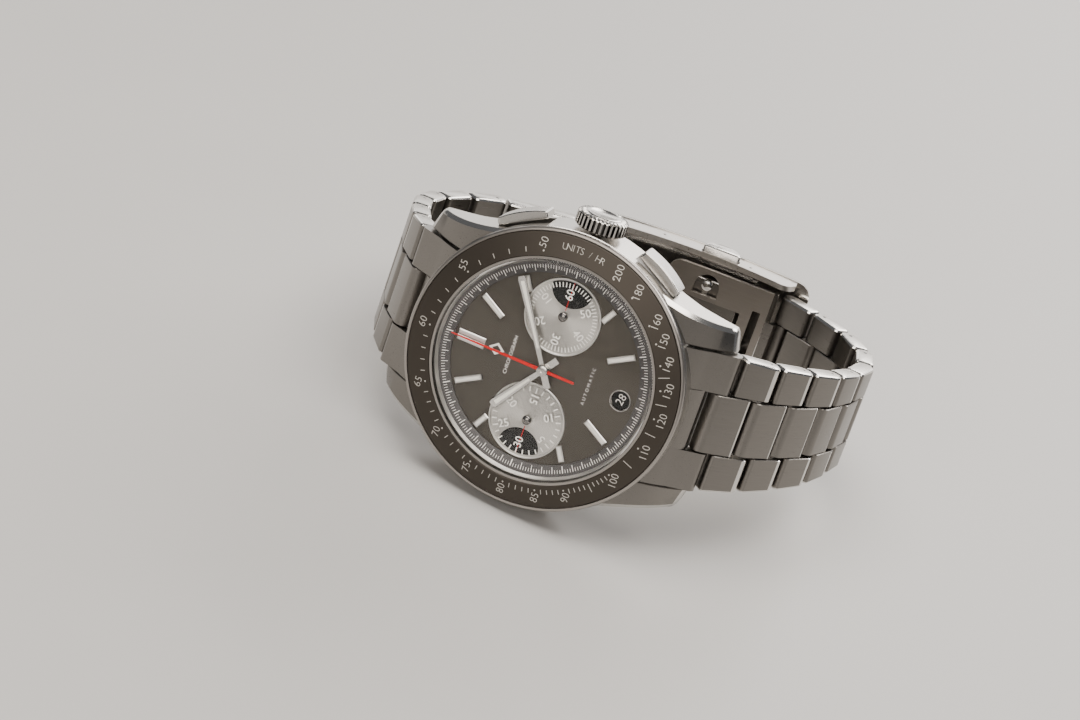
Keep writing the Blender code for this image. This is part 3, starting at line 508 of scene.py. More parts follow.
def curve_to_mesh(curve, height):
    """Turn a curve into a mesh, raised by a height."""
    guide = new_object("guide", curve)
    mesh = evaluated_mesh(guide)
    bpy.data.objects.remove(guide, do_unlink=True)
    mesh.transform(Matrix.Translation((0, 0, height)))
    return mesh


def add_mesh(work, mesh, matrix=None, index=0):
    """Add a mesh to a bmesh, moved by a matrix, with one material index."""
    if matrix:
        mesh.transform(matrix)
    before = len(work.faces)
    work.from_mesh(mesh)
    work.faces.ensure_lookup_table()
    for face in work.faces[before:]:
        face.material_index = index
    bpy.data.meshes.remove(mesh)


def prism(work, outlines, low, high, matrix=None):
    add_mesh(work, outline_mesh(outlines, low, high), matrix)


def add_turned(work, profile, steps, matrix, index=0):
    """Add a small turned piece, moved by a matrix."""
    piece = bmesh.new()
    lathe(piece, profile, steps)
    mesh = bpy.data.meshes.new("turned")
    piece.to_mesh(mesh)
    piece.free()
    add_mesh(work, mesh, matrix, index)


def crosswise(at, sign=1):
    """A matrix that lays a turned piece along X at a point."""
    return Matrix.Translation(at) @ Matrix.Rotation(math.radians(90 * sign), 4, "Y")


def across(work, low, high, *outlines):
    """Add a solid with its outlines in YZ and its thickness along X."""
    turn = Matrix(((0, 0, 1, 0), (1, 0, 0, 0), (0, 1, 0, 0), (0, 0, 0, 1)))
    prism(work, outlines, low, high, turn)


def rectangle(half, start, end):
    return [(-half, start), (half, start), (half, end), (-half, end)]


def lettering(work, words, size, at, turn=0.0, weight=0.0, spacing=1.0):
    """Plain lettering centred on a point, in the watch plane."""
    curve = bpy.data.curves.new("letters", "FONT")
    curve.body = words
    curve.size = size
    curve.align_x = "CENTER"
    curve.align_y = "CENTER"
    curve.resolution_u = 3
    curve.space_character = spacing
    curve.offset = weight
    curve.extrude = PRINT_HEIGHT / 2
    mesh = curve_to_mesh(curve, PRINT_HEIGHT / 2)
    add_mesh(work, mesh, Matrix.Translation((*at, 0)) @ turn_z(turn))


def tick(work, clock_degrees, inner, outer, width, height=PRINT_HEIGHT):
    """A short bar along a radius."""
    turn = turn_z(-clock_degrees)
    outline = rectangle(width / 2, inner, outer)
    low = [work.verts.new(turn @ Vector((x, y, 0))) for x, y in outline]
    high = [work.verts.new(turn @ Vector((x, y, height))) for x, y in outline]
    work.faces.new(high)
    work.faces.new(low[::-1])
    for i in range(4):
        j = (i + 1) % 4
        work.faces.new([low[i], low[j], high[j], high[i]])


def lift(work, height):
    for vertex in work.verts:
        vertex.co.z += height


def drape(work, surface):
    """Lay flat print on a turned surface, whose height is a function of the radius."""
    for vertex in work.verts:
        vertex.co.z += surface(math.hypot(vertex.co.x, vertex.co.y))


def ring_stack(work, rings, look=None, cap_index=0):
    """Skin a stack of closed rings with the same number of points, and cap both ends.

    look picks each face's material from its level in the stack and its place in the ring.
    """
    made = [[work.verts.new(point) for point in ring] for ring in rings]
    for level, (a, b) in enumerate(zip(made, made[1:])):
        for i in range(len(a)):
            j = (i + 1) % len(a)
            face = work.faces.new([a[i], a[j], b[j], b[i]])
            face.material_index = look(level, i) if look else 0
    for ring in (made[0], made[-1]):
        work.faces.new(ring).material_index = cap_index


def inset(outline, amount):
    """Pull an outline in towards the middle of its box by about an amount."""
    ys, zs = [p[0] for p in outline], [p[1] for p in outline]
    cy, cz = (min(ys) + max(ys)) / 2, (min(zs) + max(zs)) / 2
    hy, hz = (max(ys) - min(ys)) / 2, (max(zs) - min(zs)) / 2
    ky, kz = 1 - amount / hy, 1 - amount / hz
    return [(cy + (y - cy) * ky, cz + (z - cz) * kz) for y, z in outline]


def sideways_block(work, outline, sections, look, cap_index=0):
    """Loft a YZ outline across X through sections of (x, inset)."""
    rings = [[(x, y, z) for y, z in inset(outline, amount)] for x, amount in sections]
    ring_stack(work, rings, look, cap_index)


def boolean(target, tool, operation):
    """Cut or join at once, and remove the tool."""
    change = target.modifiers.new("change", "BOOLEAN")
    change.operation = operation
    change.object = tool
    mesh = evaluated_mesh(target)
    target.modifiers.clear()
    target.data = mesh
    bpy.data.objects.remove(tool, do_unlink=True)


def bevelled(piece, width, angle=40):
    """Round the sharp edges with the piece's second material."""
    edge = piece.modifiers.new("edge", "BEVEL")
    edge.width = width * MM
    edge.segments = 2
    edge.limit_method = "ANGLE"
    edge.angle_limit = math.radians(angle)
    edge.harden_normals = True
    edge.material = 1


# ---------------- case

def lug_share(y):
    return max((y - LUG_START_Y) / LUG_RUN, 0)


def lug_height(y):
    return LUG_TOP - LUG_DROP * lug_share(y) ** 2.3


def lug_reach(y):
    """The outer side of a lug, which draws in towards its tip."""
    share = lug_share(y)
    return 16.3 - 3.1 * share ** 1.15 - 0.5 * math.sin(math.pi * min(share, 1))


def lug_ring(y, shrink):
    """One cross-section of a lug: a box with a chamfer along its outer top edge."""
    top, out = lug_height(y) - shrink, lug_reach(y) - shrink
    low = max(-8.9 - max(y - 16, 0) * 0.22, -10.3) + shrink
    inner = LUG_INNER + shrink * 0.4
    section = [(inner, low), (inner, top - 0.15), (LUG_INNER + 0.15, top), (out - LUG_CHAMFER, top),
               (out, top - LUG_CHAMFER), (out, low + 0.5), (out - 0.5, low)]
    slant = LUG_SLANT * max((y - 17) / (LUG_TIP_Y - 17), 0) ** 2
    return [(x, y - slant * (x - LUG_INNER), z) for x, z in section]


# Side 4, the lug's outer face, and the tip caps take the lighter flank steel as painted light, the top
# the darker steel as painted shade; side 3, the chamfer, and the tip take the polished edge.
def lug_look(level, side):
    if side == 4:
        return 2
    return 1 if side == 3 or level >= LUG_STEPS else 0


def add_lug(work, flip_x, flip_y):
    ys = [LUG_ROOT_Y + LUG_SPAN * i / LUG_STEPS for i in range(LUG_STEPS + 1)]
    rings = [lug_ring(y, 0) for y in ys]
    rings += [lug_ring(LUG_TIP_Y - back, shrink)
              for back, shrink in ((0.25, 0.10), (0.06, 0.28), (0, 0.5))]
    flip = Matrix.Diagonal((flip_x, flip_y, 1))
    rings = [[flip @ Vector(p) for p in ring] for ring in rings]
    ring_stack(work, rings, lug_look, 2)


def make_case():
    body = turned("case_body", [
        (0, CASE_TOP), (18.55, CASE_TOP), (18.8, CASE_TOP - 0.06), (CASE_R, CASE_TOP - 0.45),
        (CASE_R, FLANK_Z), (18.75, CASE_BOTTOM + 0.1), (18.5, CASE_BOTTOM), (0, CASE_BOTTOM),
    ], steps=160, bands={1: 1, 2: 1, 3: 2, 4: 1})
    lugs = bmesh.new()
    for flip_x in (1, -1):
        for flip_y in (1, -1):
            add_lug(lugs, flip_x, flip_y)
    boolean(body, from_bmesh("lugs", lugs), "UNION")
    cutters = bmesh.new()
    prism(cutters, [circle((0, 0), BORE_R, 128)], -12, 1)
    boolean(body, from_bmesh("bore", cutters), "DIFFERENCE")
    half = PUSHER_WIDTH / 2 + POCKET_GAP
    low, high = (CROWN_Z + sign * (PUSHER_HEIGHT / 2 + POCKET_GAP) for sign in (-1, 1))
    for sign in (1, -1):
        pocket = bmesh.new()
        prism(pocket, [[(POCKET_INNER, -half), (24, -half), (24, half), (POCKET_INNER, half)]],
              low, high, turn_z(sign * PUSHER_ANGLE))
        boolean(body, from_bmesh("pocket", pocket), "DIFFERENCE")
    body.data.shade_smooth()
    body.data.set_sharp_from_angle(angle=math.radians(28))
    # The case's outer side takes the lighter flank steel as painted light, its top the darker steel as
    # painted shade.
    place(body, WATCH, "case", ("brushed", "satin_edge", "flank"), ("case_middle",))


def insert_surface(radius):
    return INSERT_TOP - (radius - INSERT_INNER_R) * INSERT_SLOPE


def make_bezel():
    # The bezel's edge ring takes the darker polished steel: painted shade.
    spin("bezel_edge", [
        (18.95, -0.60), (19.12, -0.60), (19.3, -0.70), (BEZEL_R, -0.92), (BEZEL_R, -1.16),
        (19.25, -1.34), (15.72, -1.34), (15.72, -0.4), (18.95, -1.1),
    ], WATCH, "case", ("ring",), ("bezel_ring",), "polished", steps=192, closed=True)
    edge = 0.08
    spin("bezel_insert", [
        (INSERT_INNER_R, -0.25), (INSERT_INNER_R, INSERT_TOP - edge),
        (INSERT_INNER_R + edge, insert_surface(INSERT_INNER_R + edge)),
        (INSERT_OUTER_R - edge, insert_surface(INSERT_OUTER_R - edge)),
        (INSERT_OUTER_R, insert_surface(INSERT_OUTER_R) - edge), (INSERT_OUTER_R, -0.98),
    ], WATCH, "case", ("insert",), ("tachymeter_insert",), "insert", steps=192, closed=True)
    # The seal takes the same darker polished steel: painted shade.
    spin("crystal_seal", [(15.24, -0.5), (15.24, 0.0), (15.56, 0.0), (15.56, -0.5)],
         WATCH, "case", ("ring",), ("crystal_gasket",), "rubber", steps=160, closed=True)
    make_bezel_print()


def scale_angle(units):
    """Where a rate of units an hour falls on the bezel, clockwise from 12 o'clock."""
    return 360 * 3600 / units / 60


def make_bezel_print():
    work = bmesh.new()
    numbers = [50, 55, 60, 65, 70, 75, 80, 85, 90, 100, 110, 120, 130, 140, 150, 160, 180, 200]
    for number in numbers:
        angle = scale_angle(number)
        lettering(work, str(number), 1.5, on_circle(BEZEL_NUMBER_R, angle), weight=-0.022)
        prism(work, [circle(on_circle(BEZEL_DOT_R, angle), 0.12, 10)], 0, PRINT_HEIGHT)
    for number in range(51, 100):
        if number % 5:
            tick(work, scale_angle(number), BEZEL_TICK_INNER, BEZEL_TICK_OUTER, BEZEL_TICK_WIDTH)
    tick(work, scale_angle(95), BEZEL_TICK_INNER, BEZEL_LONG_OUTER, BEZEL_TICK_WIDTH)
    for number in (105, 115, 125, 135):
        tick(work, scale_angle(number), 16.0, BEZEL_LONG_OUTER, BEZEL_TICK_WIDTH)
    words = "UNITS / HR"
    start, end = 81.6, 99.3
    for index, letter in enumerate(words):
        angle = start + (end - start) * index / (len(words) - 1)
        if letter != " ":
            lettering(work, letter, 1.3, on_circle(17.3, angle), -angle, -0.03)
    drape(work, lambda radius: insert_surface(radius) + 0.004)
    build("bezel_print", work, WATCH, "case", ("silver_print",))


def dome(radius, edge_z, centre_z, steps):
    drop = centre_z - edge_z
    return [(radius * i / steps, centre_z - drop * (i / steps) ** 2) for i in range(steps + 1)]


def make_crystal():
    top = dome(CRYSTAL_R, 0.3, 1.3, 16)
    under = dome(CRYSTAL_R, -0.25, 0.6, 12)
    side = [(15.14, 0.22), (15.2, 0.08), (15.2, -0.25)]
    spin("crystal_dome", top + side + under[::-1], WATCH, "case", ("glass",), ("crystal",), "glass",
         steps=160, sharp=50)


def make_case_back():
    profile = [(0, -8.35), (14.6, -8.35), (14.7, -9.1), (16.9, -9.15), (17.5, -9.3), (17.55, -9.6),
               (17.1, -9.85), (15.9, -10.0), (15.6, -10.2), (15.2, -10.42), (14.9, -10.5), (0, -10.5)]
    back = turned("case_back_lid", profile, bands={span: 1 for span in range(3, 10)})
    notches = bmesh.new()
    for index in range(6):
        prism(notches, [rectangle(1.3, 15.7, 18)], -11, -9.75, turn_z(60 * index + 30))
    boolean(back, from_bmesh("notches", notches), "DIFFERENCE")
    back.data.shade_smooth()
    back.data.set_sharp_from_angle(angle=math.radians(30))
    place(back, WATCH, "case", ("back", "satin_edge"), ("case_back",))


def make_crown():
    """A fluted grip with a sloping shoulder up to a plain round end."""
    work = bmesh.new()
    outline = []
    for i in range(CROWN_FLUTES):
        step = 360 / CROWN_FLUTES
        outline += arc((0, 0), CROWN_R, step * i, step * (i + 0.42), 3)
        outline += arc((0, 0), CROWN_R - 0.45, step * (i + 0.6), step * (i + 0.82), 2)
    levels = [(CROWN_START, 0.3), (CROWN_START + 0.25, 0.0), (CROWN_END - 0.42, 0.0),
              (CROWN_END - 0.22, 0.22), (CROWN_END - 0.12, 0.7)]
    rings = [[(x * (1 - pull / CROWN_R), y * (1 - pull / CROWN_R), z) for x, y in outline]
             for z, pull in levels]
    # The groove walls and floors along the grip take the near-black steel: painted shade in the flutes.
    ring_stack(work, rings, lambda level, i: 1 if level == 1 and i % 7 > 2 else 0)
    end = CROWN_END
    lathe(work, [(0, end - 0.04), (1.9, end - 0.04), (1.96, end), (2.3, end), (2.42, end - 0.06),
                 (2.45, end - 0.14), (2.8, end - 0.2), (0, end - 0.2)], 96)
    lathe(work, [(0, CROWN_START + 0.1), (2.6, CROWN_START + 0.1), (2.6, CROWN_START - 0.1),
                 (0, CROWN_START - 0.1)], 64)
    matrix = WATCH @ shift(0, 0, CROWN_Z) @ Matrix.Rotation(math.radians(90), 4, "Y")
    build("crown_grip", work, matrix, "crown", ("flange", "groove"), ("crown",))


def make_pusher(name, sign):
    half = PUSHER_WIDTH / 2
    swing = math.degrees(math.asin(half / 14))
    bow = arc((PUSHER_OUTER - 14, 0), 14, -swing, swing, 20)
    work = bmesh.new()
    prism(work, [[(PUSHER_INNER, half), (PUSHER_INNER, -half)] + bow],
          -PUSHER_HEIGHT / 2, PUSHER_HEIGHT / 2)
    matrix = WATCH @ shift(0, 0, CROWN_Z) @ turn_z(sign * PUSHER_ANGLE)
    head = build(name + "_head", work, matrix, name, ("flange", "polished"), (name,))
    bevelled(head, 0.2, 30)


# ---------------- dial

def baton(work, clock_degrees, inner, outer, width, side=0.0):
    """An applied marker: a bar with a bevelled edge, its flanks given the dark steel as painted shade.
    """
    half, facet = width / 2, 0.12
    low = rectangle(half, inner, outer)
    high = rectangle(half - facet, inner + facet, outer - facet)
    matrix = turn_z(-clock_degrees) @ Matrix.Translation((side, 0, 0))
    top = DIAL_TOP + MARKER_HEIGHT
    levels = ((low, DIAL_TOP - 0.05), (low, top - 0.14), (high, top))
    rings = [[matrix @ Vector((x, y, z)) for x, y in ring] for ring, z in levels]
    ring_stack(work, rings, lambda level, i: 1 - level)


def make_markers():
    work = bmesh.new()
    for side in (-TWIN_OFFSET, TWIN_OFFSET):
        baton(work, 0, MARKER_INNER_R - 0.1, MARKER_OUTER_R - 0.2, TWIN_WIDTH, side)
    for hour in (1, 5, 7, 11):
        baton(work, 30 * hour, MARKER_INNER_R, MARKER_OUTER_R - 0.1, MARKER_WIDTH)
    for hour in (2, 4, 8, 10):
        baton(work, 30 * hour, MARKER_SHORT_R, MARKER_OUTER_R, MARKER_WIDTH)
    # The marker flanks take the dark steel: painted shade.
    build("hour_markers", work, WATCH, "case", ("rim", "hub"), sharp=20)
    slots = bmesh.new()
    for hour in (1, 2, 4, 5, 7, 8, 10, 11):
        inner = MARKER_INNER_R if hour % 6 in (1, 5) else MARKER_SHORT_R
        tick(slots, 30 * hour, inner + 0.35, MARKER_OUTER_R - 0.4, 0.26, 0.03)
    lift(slots, DIAL_TOP + MARKER_HEIGHT - 0.01)
    build("marker_lume", slots, WATCH, "case", ("lume",))


def make_dial():
    holes = [circle((sign * SUBDIAL_X, 0), SUBDIAL_R + 0.02, 96) for sign in (1, -1)]
    holes += [circle((0, DATE_Y), DATE_R + 0.02, 48), circle((0, 0), 0.85, 32)]
    work = bmesh.new()
    prism(work, [circle((0, 0), DIAL_R, 160)] + holes, DIAL_TOP - 0.35, DIAL_TOP)
    build("dial_plate", work, WATCH, "case", ("dial",), ("dial",))
    make_markers()
    make_dial_words()
    make_chapter()
    spin("date_frame", [
        (DATE_R, DIAL_TOP - 0.3), (DATE_R, DIAL_TOP + 0.1), (DATE_R - 0.08, DIAL_TOP + 0.2),
        (1.36, DIAL_TOP + 0.2), (1.22, DIAL_TOP - 0.1), (1.22, DIAL_TOP - 0.3),
    ], WATCH @ shift(0, DATE_Y, 0), "case", ("polished",), ("date_window_frame",), "polished",
         steps=64, closed=True)
    make_date()


def make_dial_words():
    work = bmesh.new()
    lettering(work, "CHRONOGRAPH", 0.72, (0, 4.95), weight=-0.006)
    lettering(work, "AUTOMATIC", 0.66, (0.1, -6.35), weight=-0.012, spacing=1.6)
    lozenge = [(0.85, 0), (0, 1.1), (-0.85, 0), (0, -1.1)]
    inner = [(x * 0.62, y * 0.62) for x, y in lozenge]
    prism(work, [[(x, y + 7.0) for x, y in lozenge], [(x, y + 7.0) for x, y in inner]], 0, 0.1)
    lift(work, DIAL_TOP + 0.002)
    build("dial_words", work, WATCH, "case", ("print",))


def chapter_surface(radius):
    share = (radius - CHAPTER_INNER_R) / (CHAPTER_OUTER_R - CHAPTER_INNER_R)
    return CHAPTER_LOW + (CHAPTER_HIGH - CHAPTER_LOW) * share


def make_chapter():
    spin("chapter_track", [
        (CHAPTER_INNER_R, CHAPTER_LOW), (CHAPTER_INNER_R, DIAL_TOP + 0.03), (14.8, DIAL_TOP + 0.03),
        (14.8, CHAPTER_HIGH), (CHAPTER_OUTER_R, CHAPTER_HIGH),
    ], WATCH, "case", ("chapter",), ("chapter_ring",), "chapter", steps=160, closed=True)
    work = bmesh.new()
    for index in range(CHAPTER_TICKS):
        if index % 20 == 0:
            inner, width = 13.32, 0.13
        elif index % 4 == 0:
            inner, width = 13.36, 0.085
        else:
            inner, width = 13.76, 0.06
        tick(work, 360 * index / CHAPTER_TICKS, inner, CHAPTER_TICK_OUTER, width)
    drape(work, lambda radius: chapter_surface(radius) + 0.003)
    build("chapter_ticks", work, WATCH, "case", ("print",))
    spin("inner_bezel", [
        (CHAPTER_OUTER_R, CHAPTER_HIGH + 0.02), (14.86, -0.6), (14.95, -0.62), (14.95, -1.2),
        (14.7, -1.2),
    ], WATCH, "case", ("rim",), slot="polished", steps=160, closed=True)


def make_date():
    disc = bmesh.new()
    prism(disc, [circle((0, 0), 12.9, 128), circle((0, 0), 8.9, 96)], -2.55, DATE_DISC_TOP)
    build("date_ring", disc, WATCH, "date_disc", ("black",), ("date_disc",))
    work = bmesh.new()
    for day in range(1, 32):
        angle = 180 + 360 * (day - DATE_TODAY) / 31
        lettering(work, str(day), 1.55, on_circle(-DATE_Y, angle), 180 - angle - DATE_LEAN, -0.02)
    lift(work, DATE_DISC_TOP + 0.002)
    build("date_numerals", work, WATCH, "date_disc", ("print",))


def sector_outline(sign):
    """The grey arch behind one reading of a subdial: half an ellipse under an arc of the rim."""
    deep, wide = 3.95, 2.85
    side = [(deep - 2.6 * math.cos(math.radians(a)), wide * math.sin(math.radians(a)))
            for a in range(-90, 91, 10)]
    swing = math.degrees(math.atan2(wide, deep))
    outer = arc((0, 0), SECTOR_R, swing, -swing, 12)
    return [(sign * x, y) for x, y in side + outer]


def make_subdial(name, sign, disc_body, numbers, ticks):
    """A silvered dish with its grey arch and red line, under a clear numbered disc."""
    centre = WATCH @ shift(sign * SUBDIAL_X, 0, 0)
    spin(name + "_plate", [
        (SUBDIAL_R, -2.2), (SUBDIAL_R, -1.68), (SUBDIAL_R - 0.06, -1.6), (SUBDIAL_R - 0.16, -1.6),
        (SUBDIAL_R - 0.24, -1.66), (SUBDIAL_R - 0.26, DISH_Z), (0.42, DISH_Z), (0.42, -2.2),
    ], centre, "case", ("dish", "rim"), (name + "_dish",), "silver",
         closed=True, bands={span: 1 for span in range(5)})
    work = bmesh.new()
    prism(work, [sector_outline(sign)], DISH_Z + 0.001, DISH_Z + 0.015)
    build(name + "_sector", work, centre, "case", ("sector",))
    line = bmesh.new()
    tick(line, 90 * sign, 0.9, SECTOR_R, 0.1)
    lift(line, DISH_Z + 0.02)
    build(name + "_line", line, centre, "case", ("red",))
    make_disc(name, centre, sign, disc_body, numbers, ticks)


def make_disc(name, centre, sign, body, numbers, ticks):
    spin(name + "_clear", [
        (DISC_R, DISC_LOW), (DISC_R, DISC_TOP - 0.03), (DISC_R - 0.03, DISC_TOP), (0.6, DISC_TOP),
        (0.6, DISC_LOW),
    ], centre, body, ("disc",), (name + "_disc",), "disc", steps=96, closed=True)
    # The hub cap takes the dark steel: a painted dark reflection on its polished dome.
    spin(name + "_hub", [
        (0, -1.36), (0.2, -1.38), (0.42, -1.46), (0.58, -1.56), (0.64, -1.66), (0.64, -1.74),
        (0.28, -1.76), (0.28, -5.2), (0, -5.2),
    ], centre, body, ("hub",), slot="plate", steps=48)
    work = bmesh.new()
    count = len(numbers)
    for index, number in enumerate(numbers):
        angle = 90 * sign + 360 * index / count
        turn = 90 - angle if sign > 0 else -90 - angle
        lettering(work, str(number), 1.55, on_circle(3.2, angle), turn, 0.012)
    for index in range(ticks):
        angle = 90 * sign + 360 * index / ticks
        inner = 4.1 if index % (ticks // count) else 4.0
        tick(work, angle, inner, 4.75, 0.16 if ticks < 40 else 0.13)
    lift(work, DISC_TOP + 0.004)
    build(name + "_print", work, centre, body, ("print",))


# ---------------- hands

def hand_outline(inner, outer, tail, root, tip, tail_width):
    return [(root, inner), (tip, outer - 0.5), (tip * 0.8, outer), (-tip * 0.8, outer),
            (-tip, outer - 0.5), (-root, inner), (-tail_width, -0.6), (-tail_width, -tail),
            (tail_width, -tail), (tail_width, -0.6)]


def make_hand(name, angle, heights, outline, slot_shape, hub):
    low, high = heights
    work = bmesh.new()
    prism(work, [outline], low, high)
    matrix = WATCH @ turn_z(-angle)
    # The bevelled edges take the dark steel: painted shade along the hand's edges.
    blade = build(name + "_blade", work, matrix, name, ("satin_edge", "hub"), (name,))
    bevelled(blade, 0.06)
    fill = bmesh.new()
    prism(fill, [slot_shape], high - 0.02, high + 0.015)
    build(name + "_lume", fill, matrix, name, ("lume",))
    spin(name + "_boss", hub, matrix, name, ("polished",), slot="polished", steps=48, closed=True)


def make_hands():
    hour = hand_outline(0.5, 8.95, 2.4, 0.36, 0.64, 0.5)
    make_hand("hour_hand", HOUR_ANGLE, HOUR_HAND_Z, hour,
              [(0.13, 2.4), (0.27, 8.3), (-0.27, 8.3), (-0.13, 2.4)],
              [(0.6, -1.12), (0.85, -1.14), (0.85, -1.34), (0.76, -2.6), (0.6, -2.6)])
    minute = hand_outline(0.5, 12.9, 2.6, 0.34, 0.6, 0.5)
    make_hand("minute_hand", MINUTE_ANGLE, MINUTE_HAND_Z, minute,
              [(0.12, 3.0), (0.25, 12.2), (-0.25, 12.2), (-0.12, 3.0)],
              [(0.3, -0.88), (0.7, -0.88), (0.74, -0.92), (0.74, -1.09), (0.47, -1.1), (0.47, -5.1),
               (0.3, -5.1)])
    work = bmesh.new()
    outline = [(0.22, 0.5), (0.075, 13.35), (-0.075, 13.35), (-0.22, 0.5), (-0.2, -0.5),
               (-0.15, -4.54), (0.15, -4.54), (0.2, -0.5)]
    prism(work, [outline], *NEEDLE_Z)
    build("chronograph_needle", work, WATCH, "chronograph_hand", ("red",), ("chronograph_hand",))
    spin("chronograph_cap", [
        (0, -0.33), (0.14, -0.33), (0.2, -0.26), (0.56, -0.26), (0.72, -0.33), (0.78, -0.46),
        (0.78, -0.84), (0.19, -0.84), (0.19, -5.3), (0, -5.3),
    ], WATCH, "chronograph_hand", ("flange",), slot="polished", steps=64)


# ---------------- bracelet

def half_width(position):
    share = min(position / TAPER_LINKS, 1)
    return HALF_WIDTH_AT_CASE + (HALF_WIDTH_AT_CLASP - HALF_WIDTH_AT_CASE) * share


def centre_half(index):
    return CENTRE_SHARE * (half_width(index) + half_width(index + 1)) / 2


def rounded(low_y, high_y, half, back, front):
    """A link's side outline: a flat top between a back and a front corner radius."""
    points = arc((high_y - front, half - front), front, 90, 0, 7)
    points += arc((high_y - front, -half + front), front, 0, -90, 7)
    points += arc((low_y + back, -half + back), back, -90, -180, 6)
    points += arc((low_y + back, half - back), back, 180, 90, 6)
    return points


def outer_link(work, index, sign, middle):
    edge = half_width(index + 0.5)
    outline = rounded(LINK_R + LINK_GAP, PITCH + LINK_R, LINK_R, 0.5, 1.25)
    inner = sign * (middle + 0.02)
    full = sign * edge
    sections = [(inner, 0.1), (inner + sign * 0.1, 0), (full - sign * 0.32, 0),
                (full - sign * 0.1, 0.12), (full, 0.32)]
    before = len(work.verts)
    sideways_block(work, outline, sections, lambda level, i: 1 if level > 1 or i < 6 else 0, 3)
    work.verts.ensure_lookup_table()
    for vertex in work.verts[before:]:
        if abs(vertex.co.x) > edge - 0.35:
            lean = half_width(index + vertex.co.y / PITCH) - edge
            vertex.co.x += sign * lean


def link_pins(work, side):
    """The pin ends in the outer links' sides."""
    head = [(0, 0.01), (0.2, 0.01), (0.26, 0.0), (0.26, -0.3), (0, -0.3)]
    # The pin ends take the near-black look: painted shade, as if they sat in a recess.
    for sign in (1, -1):
        add_turned(work, head, 20, crosswise((sign * side, PITCH - 0.1, 0), sign), 2)


def add_bar(work, middle, radius, at):
    """A hidden bar across the centre row, reaching into both sides."""
    half = middle + 0.5
    add_turned(work, [(0, half), (radius, half), (radius, -half), (0, -half)], 16, crosswise(at))


def make_link(name, index, matrix, pinned):
    work = bmesh.new()
    middle = centre_half(index)
    flat_end = PITCH - LINK_R - (LINK_GAP if pinned else 2 * LINK_GAP)
    centre = rounded(-LINK_R, flat_end, LINK_R, 1.25, 0.5)
    half = middle - SIDE_GAP
    sections = [(-half, 0.1), (-half + 0.1, 0), (half - 0.1, 0), (half, 0.1)]
    sideways_block(work, centre, sections, lambda level, i: 1 if i < 6 else 0)
    for sign in (1, -1):
        outer_link(work, index, sign, middle)
    link_pins(work, half_width(index + 1))
    add_bar(work, middle, 0.7, (0, PITCH / 2, 0))
    # The links' outer sides take the lighter flank steel as painted light, the tops the darker steel as
    # painted shade and the pin ends the near-black as painted shade.
    looks = ("brushed", "satin_edge", "dark", "flank")
    build(name + "_body", work, matrix, name, looks, (name,), 25)


def hinge_matrix(joint, ahead):
    """A hinge's axes: X along its pin, Y towards the next hinge and Z away from the wrist."""
    x = joint_axis(joint)
    y = ahead - ahead.dot(x) * x
    y.normalize()
    return basis(x, y, x.cross(y), joint_point(joint))


def make_bracelet():
    """Both sides; only the last link at 12 o'clock has no hinge after it."""
    for side, count in ((6, SIX_LINKS), (12, TWELVE_LINKS)):
        names = ["link_%d_%d" % (side, i) for i in range(1, count + 1)]
        stops = [joint_point(name + "_fold") for name in names]
        if side == 6:
            stops.append(joint_point("clasp_lower_blade_fold"))
        for index, name in enumerate(names):
            pinned = index < len(stops) - 1
            if pinned:
                ahead = stops[index + 1] - stops[index]
            else:
                ahead = bent(stops[index] - stops[index - 1], name + "_fold")
            make_link(name, index, hinge_matrix(name + "_fold", ahead), pinned)


def bent(ahead, joint):
    """The direction after a hinge's own bend, which is its range less the bend past straight."""
    bend = JOINTS[joint]["range_deg"][1] - OVERBEND
    return Matrix.Rotation(math.radians(-bend), 3, joint_axis(joint)) @ ahead


def make_end_link(name, side):
    """Three rows that carry the bracelet's pattern up to the case."""
    work = bmesh.new()
    middle = centre_half(0)
    top = [(14 + 6 * i / 8, -2.35 - 3.3 * (i / 8) ** 1.7) for i in range(9)]
    nose = arc((HINGE_Y, HINGE_Z), LINK_R, 48, -100, 16)
    outline = top + nose + [(20.6, -9.6), (17, -8.9), (14, -8.6)]
    for sign in (1, -1):
        low, high = sign * (middle + 0.05), sign * HALF_WIDTH_AT_CASE
        rings = [[(low, y, z) for y, z in outline], [(high, y, z) for y, z in outline]]
        ring_stack(work, rings)
    end = HINGE_Y - LINK_R - 0.15
    inner = [(y, z + 0.12) for y, z in top if y < end]
    inner += [(end - 0.12, -6.1), (end, -6.3), (end, -9.2), (17, -8.9), (14, -8.6)]
    rings = [[(x, y, z) for y, z in inner] for x in (-middle, middle)]
    ring_stack(work, rings)
    add_bar(work, middle, 0.5, (0, HINGE_Y, HINGE_Z))
    matrix = WATCH @ turn_z(0 if side > 0 else 180)
    build(name + "_rows", work, matrix, "case", ("brushed", "satin_edge"), (name,), 30)


# ---------------- clasp

def clasp_matrix():
    """The clasp's axes: Y from the last six o'clock hinge along the cover, Z outward."""
    x = joint_axis("clasp_cover_fold")
    u, v = BLADE_HINGE[0] - COVER_HINGE[0], BLADE_HINGE[1] - COVER_HINGE[1]
    ahead = joint_point("clasp_upper_blade_fold") - joint_point("clasp_cover_fold")
    tilt = math.atan2(v, u)
    y = Matrix.Rotation(-tilt, 3, x) @ ahead.normalized()
    return basis(x, y, x.cross(y), joint_point("clasp_lower_blade_fold"))


def mirrored(outline):
    return [(-x, y) for x, y in reversed(outline)]


def button_outline(grow):
    """The push-button's outline (u, v), rounded on the side away from the wrist."""
    reach = BUTTON_R + grow
    foot = BUTTON_FOOT - grow
    dome_side = arc((BUTTON_U, BUTTON_V), reach, 0, 180, 32)
    return dome_side + arc((BUTTON_U - reach + 0.3, foot + 0.3), 0.3, 180, 270, 4) + arc(
        (BUTTON_U + reach - 0.3, foot + 0.3), 0.3, 270, 360, 4)


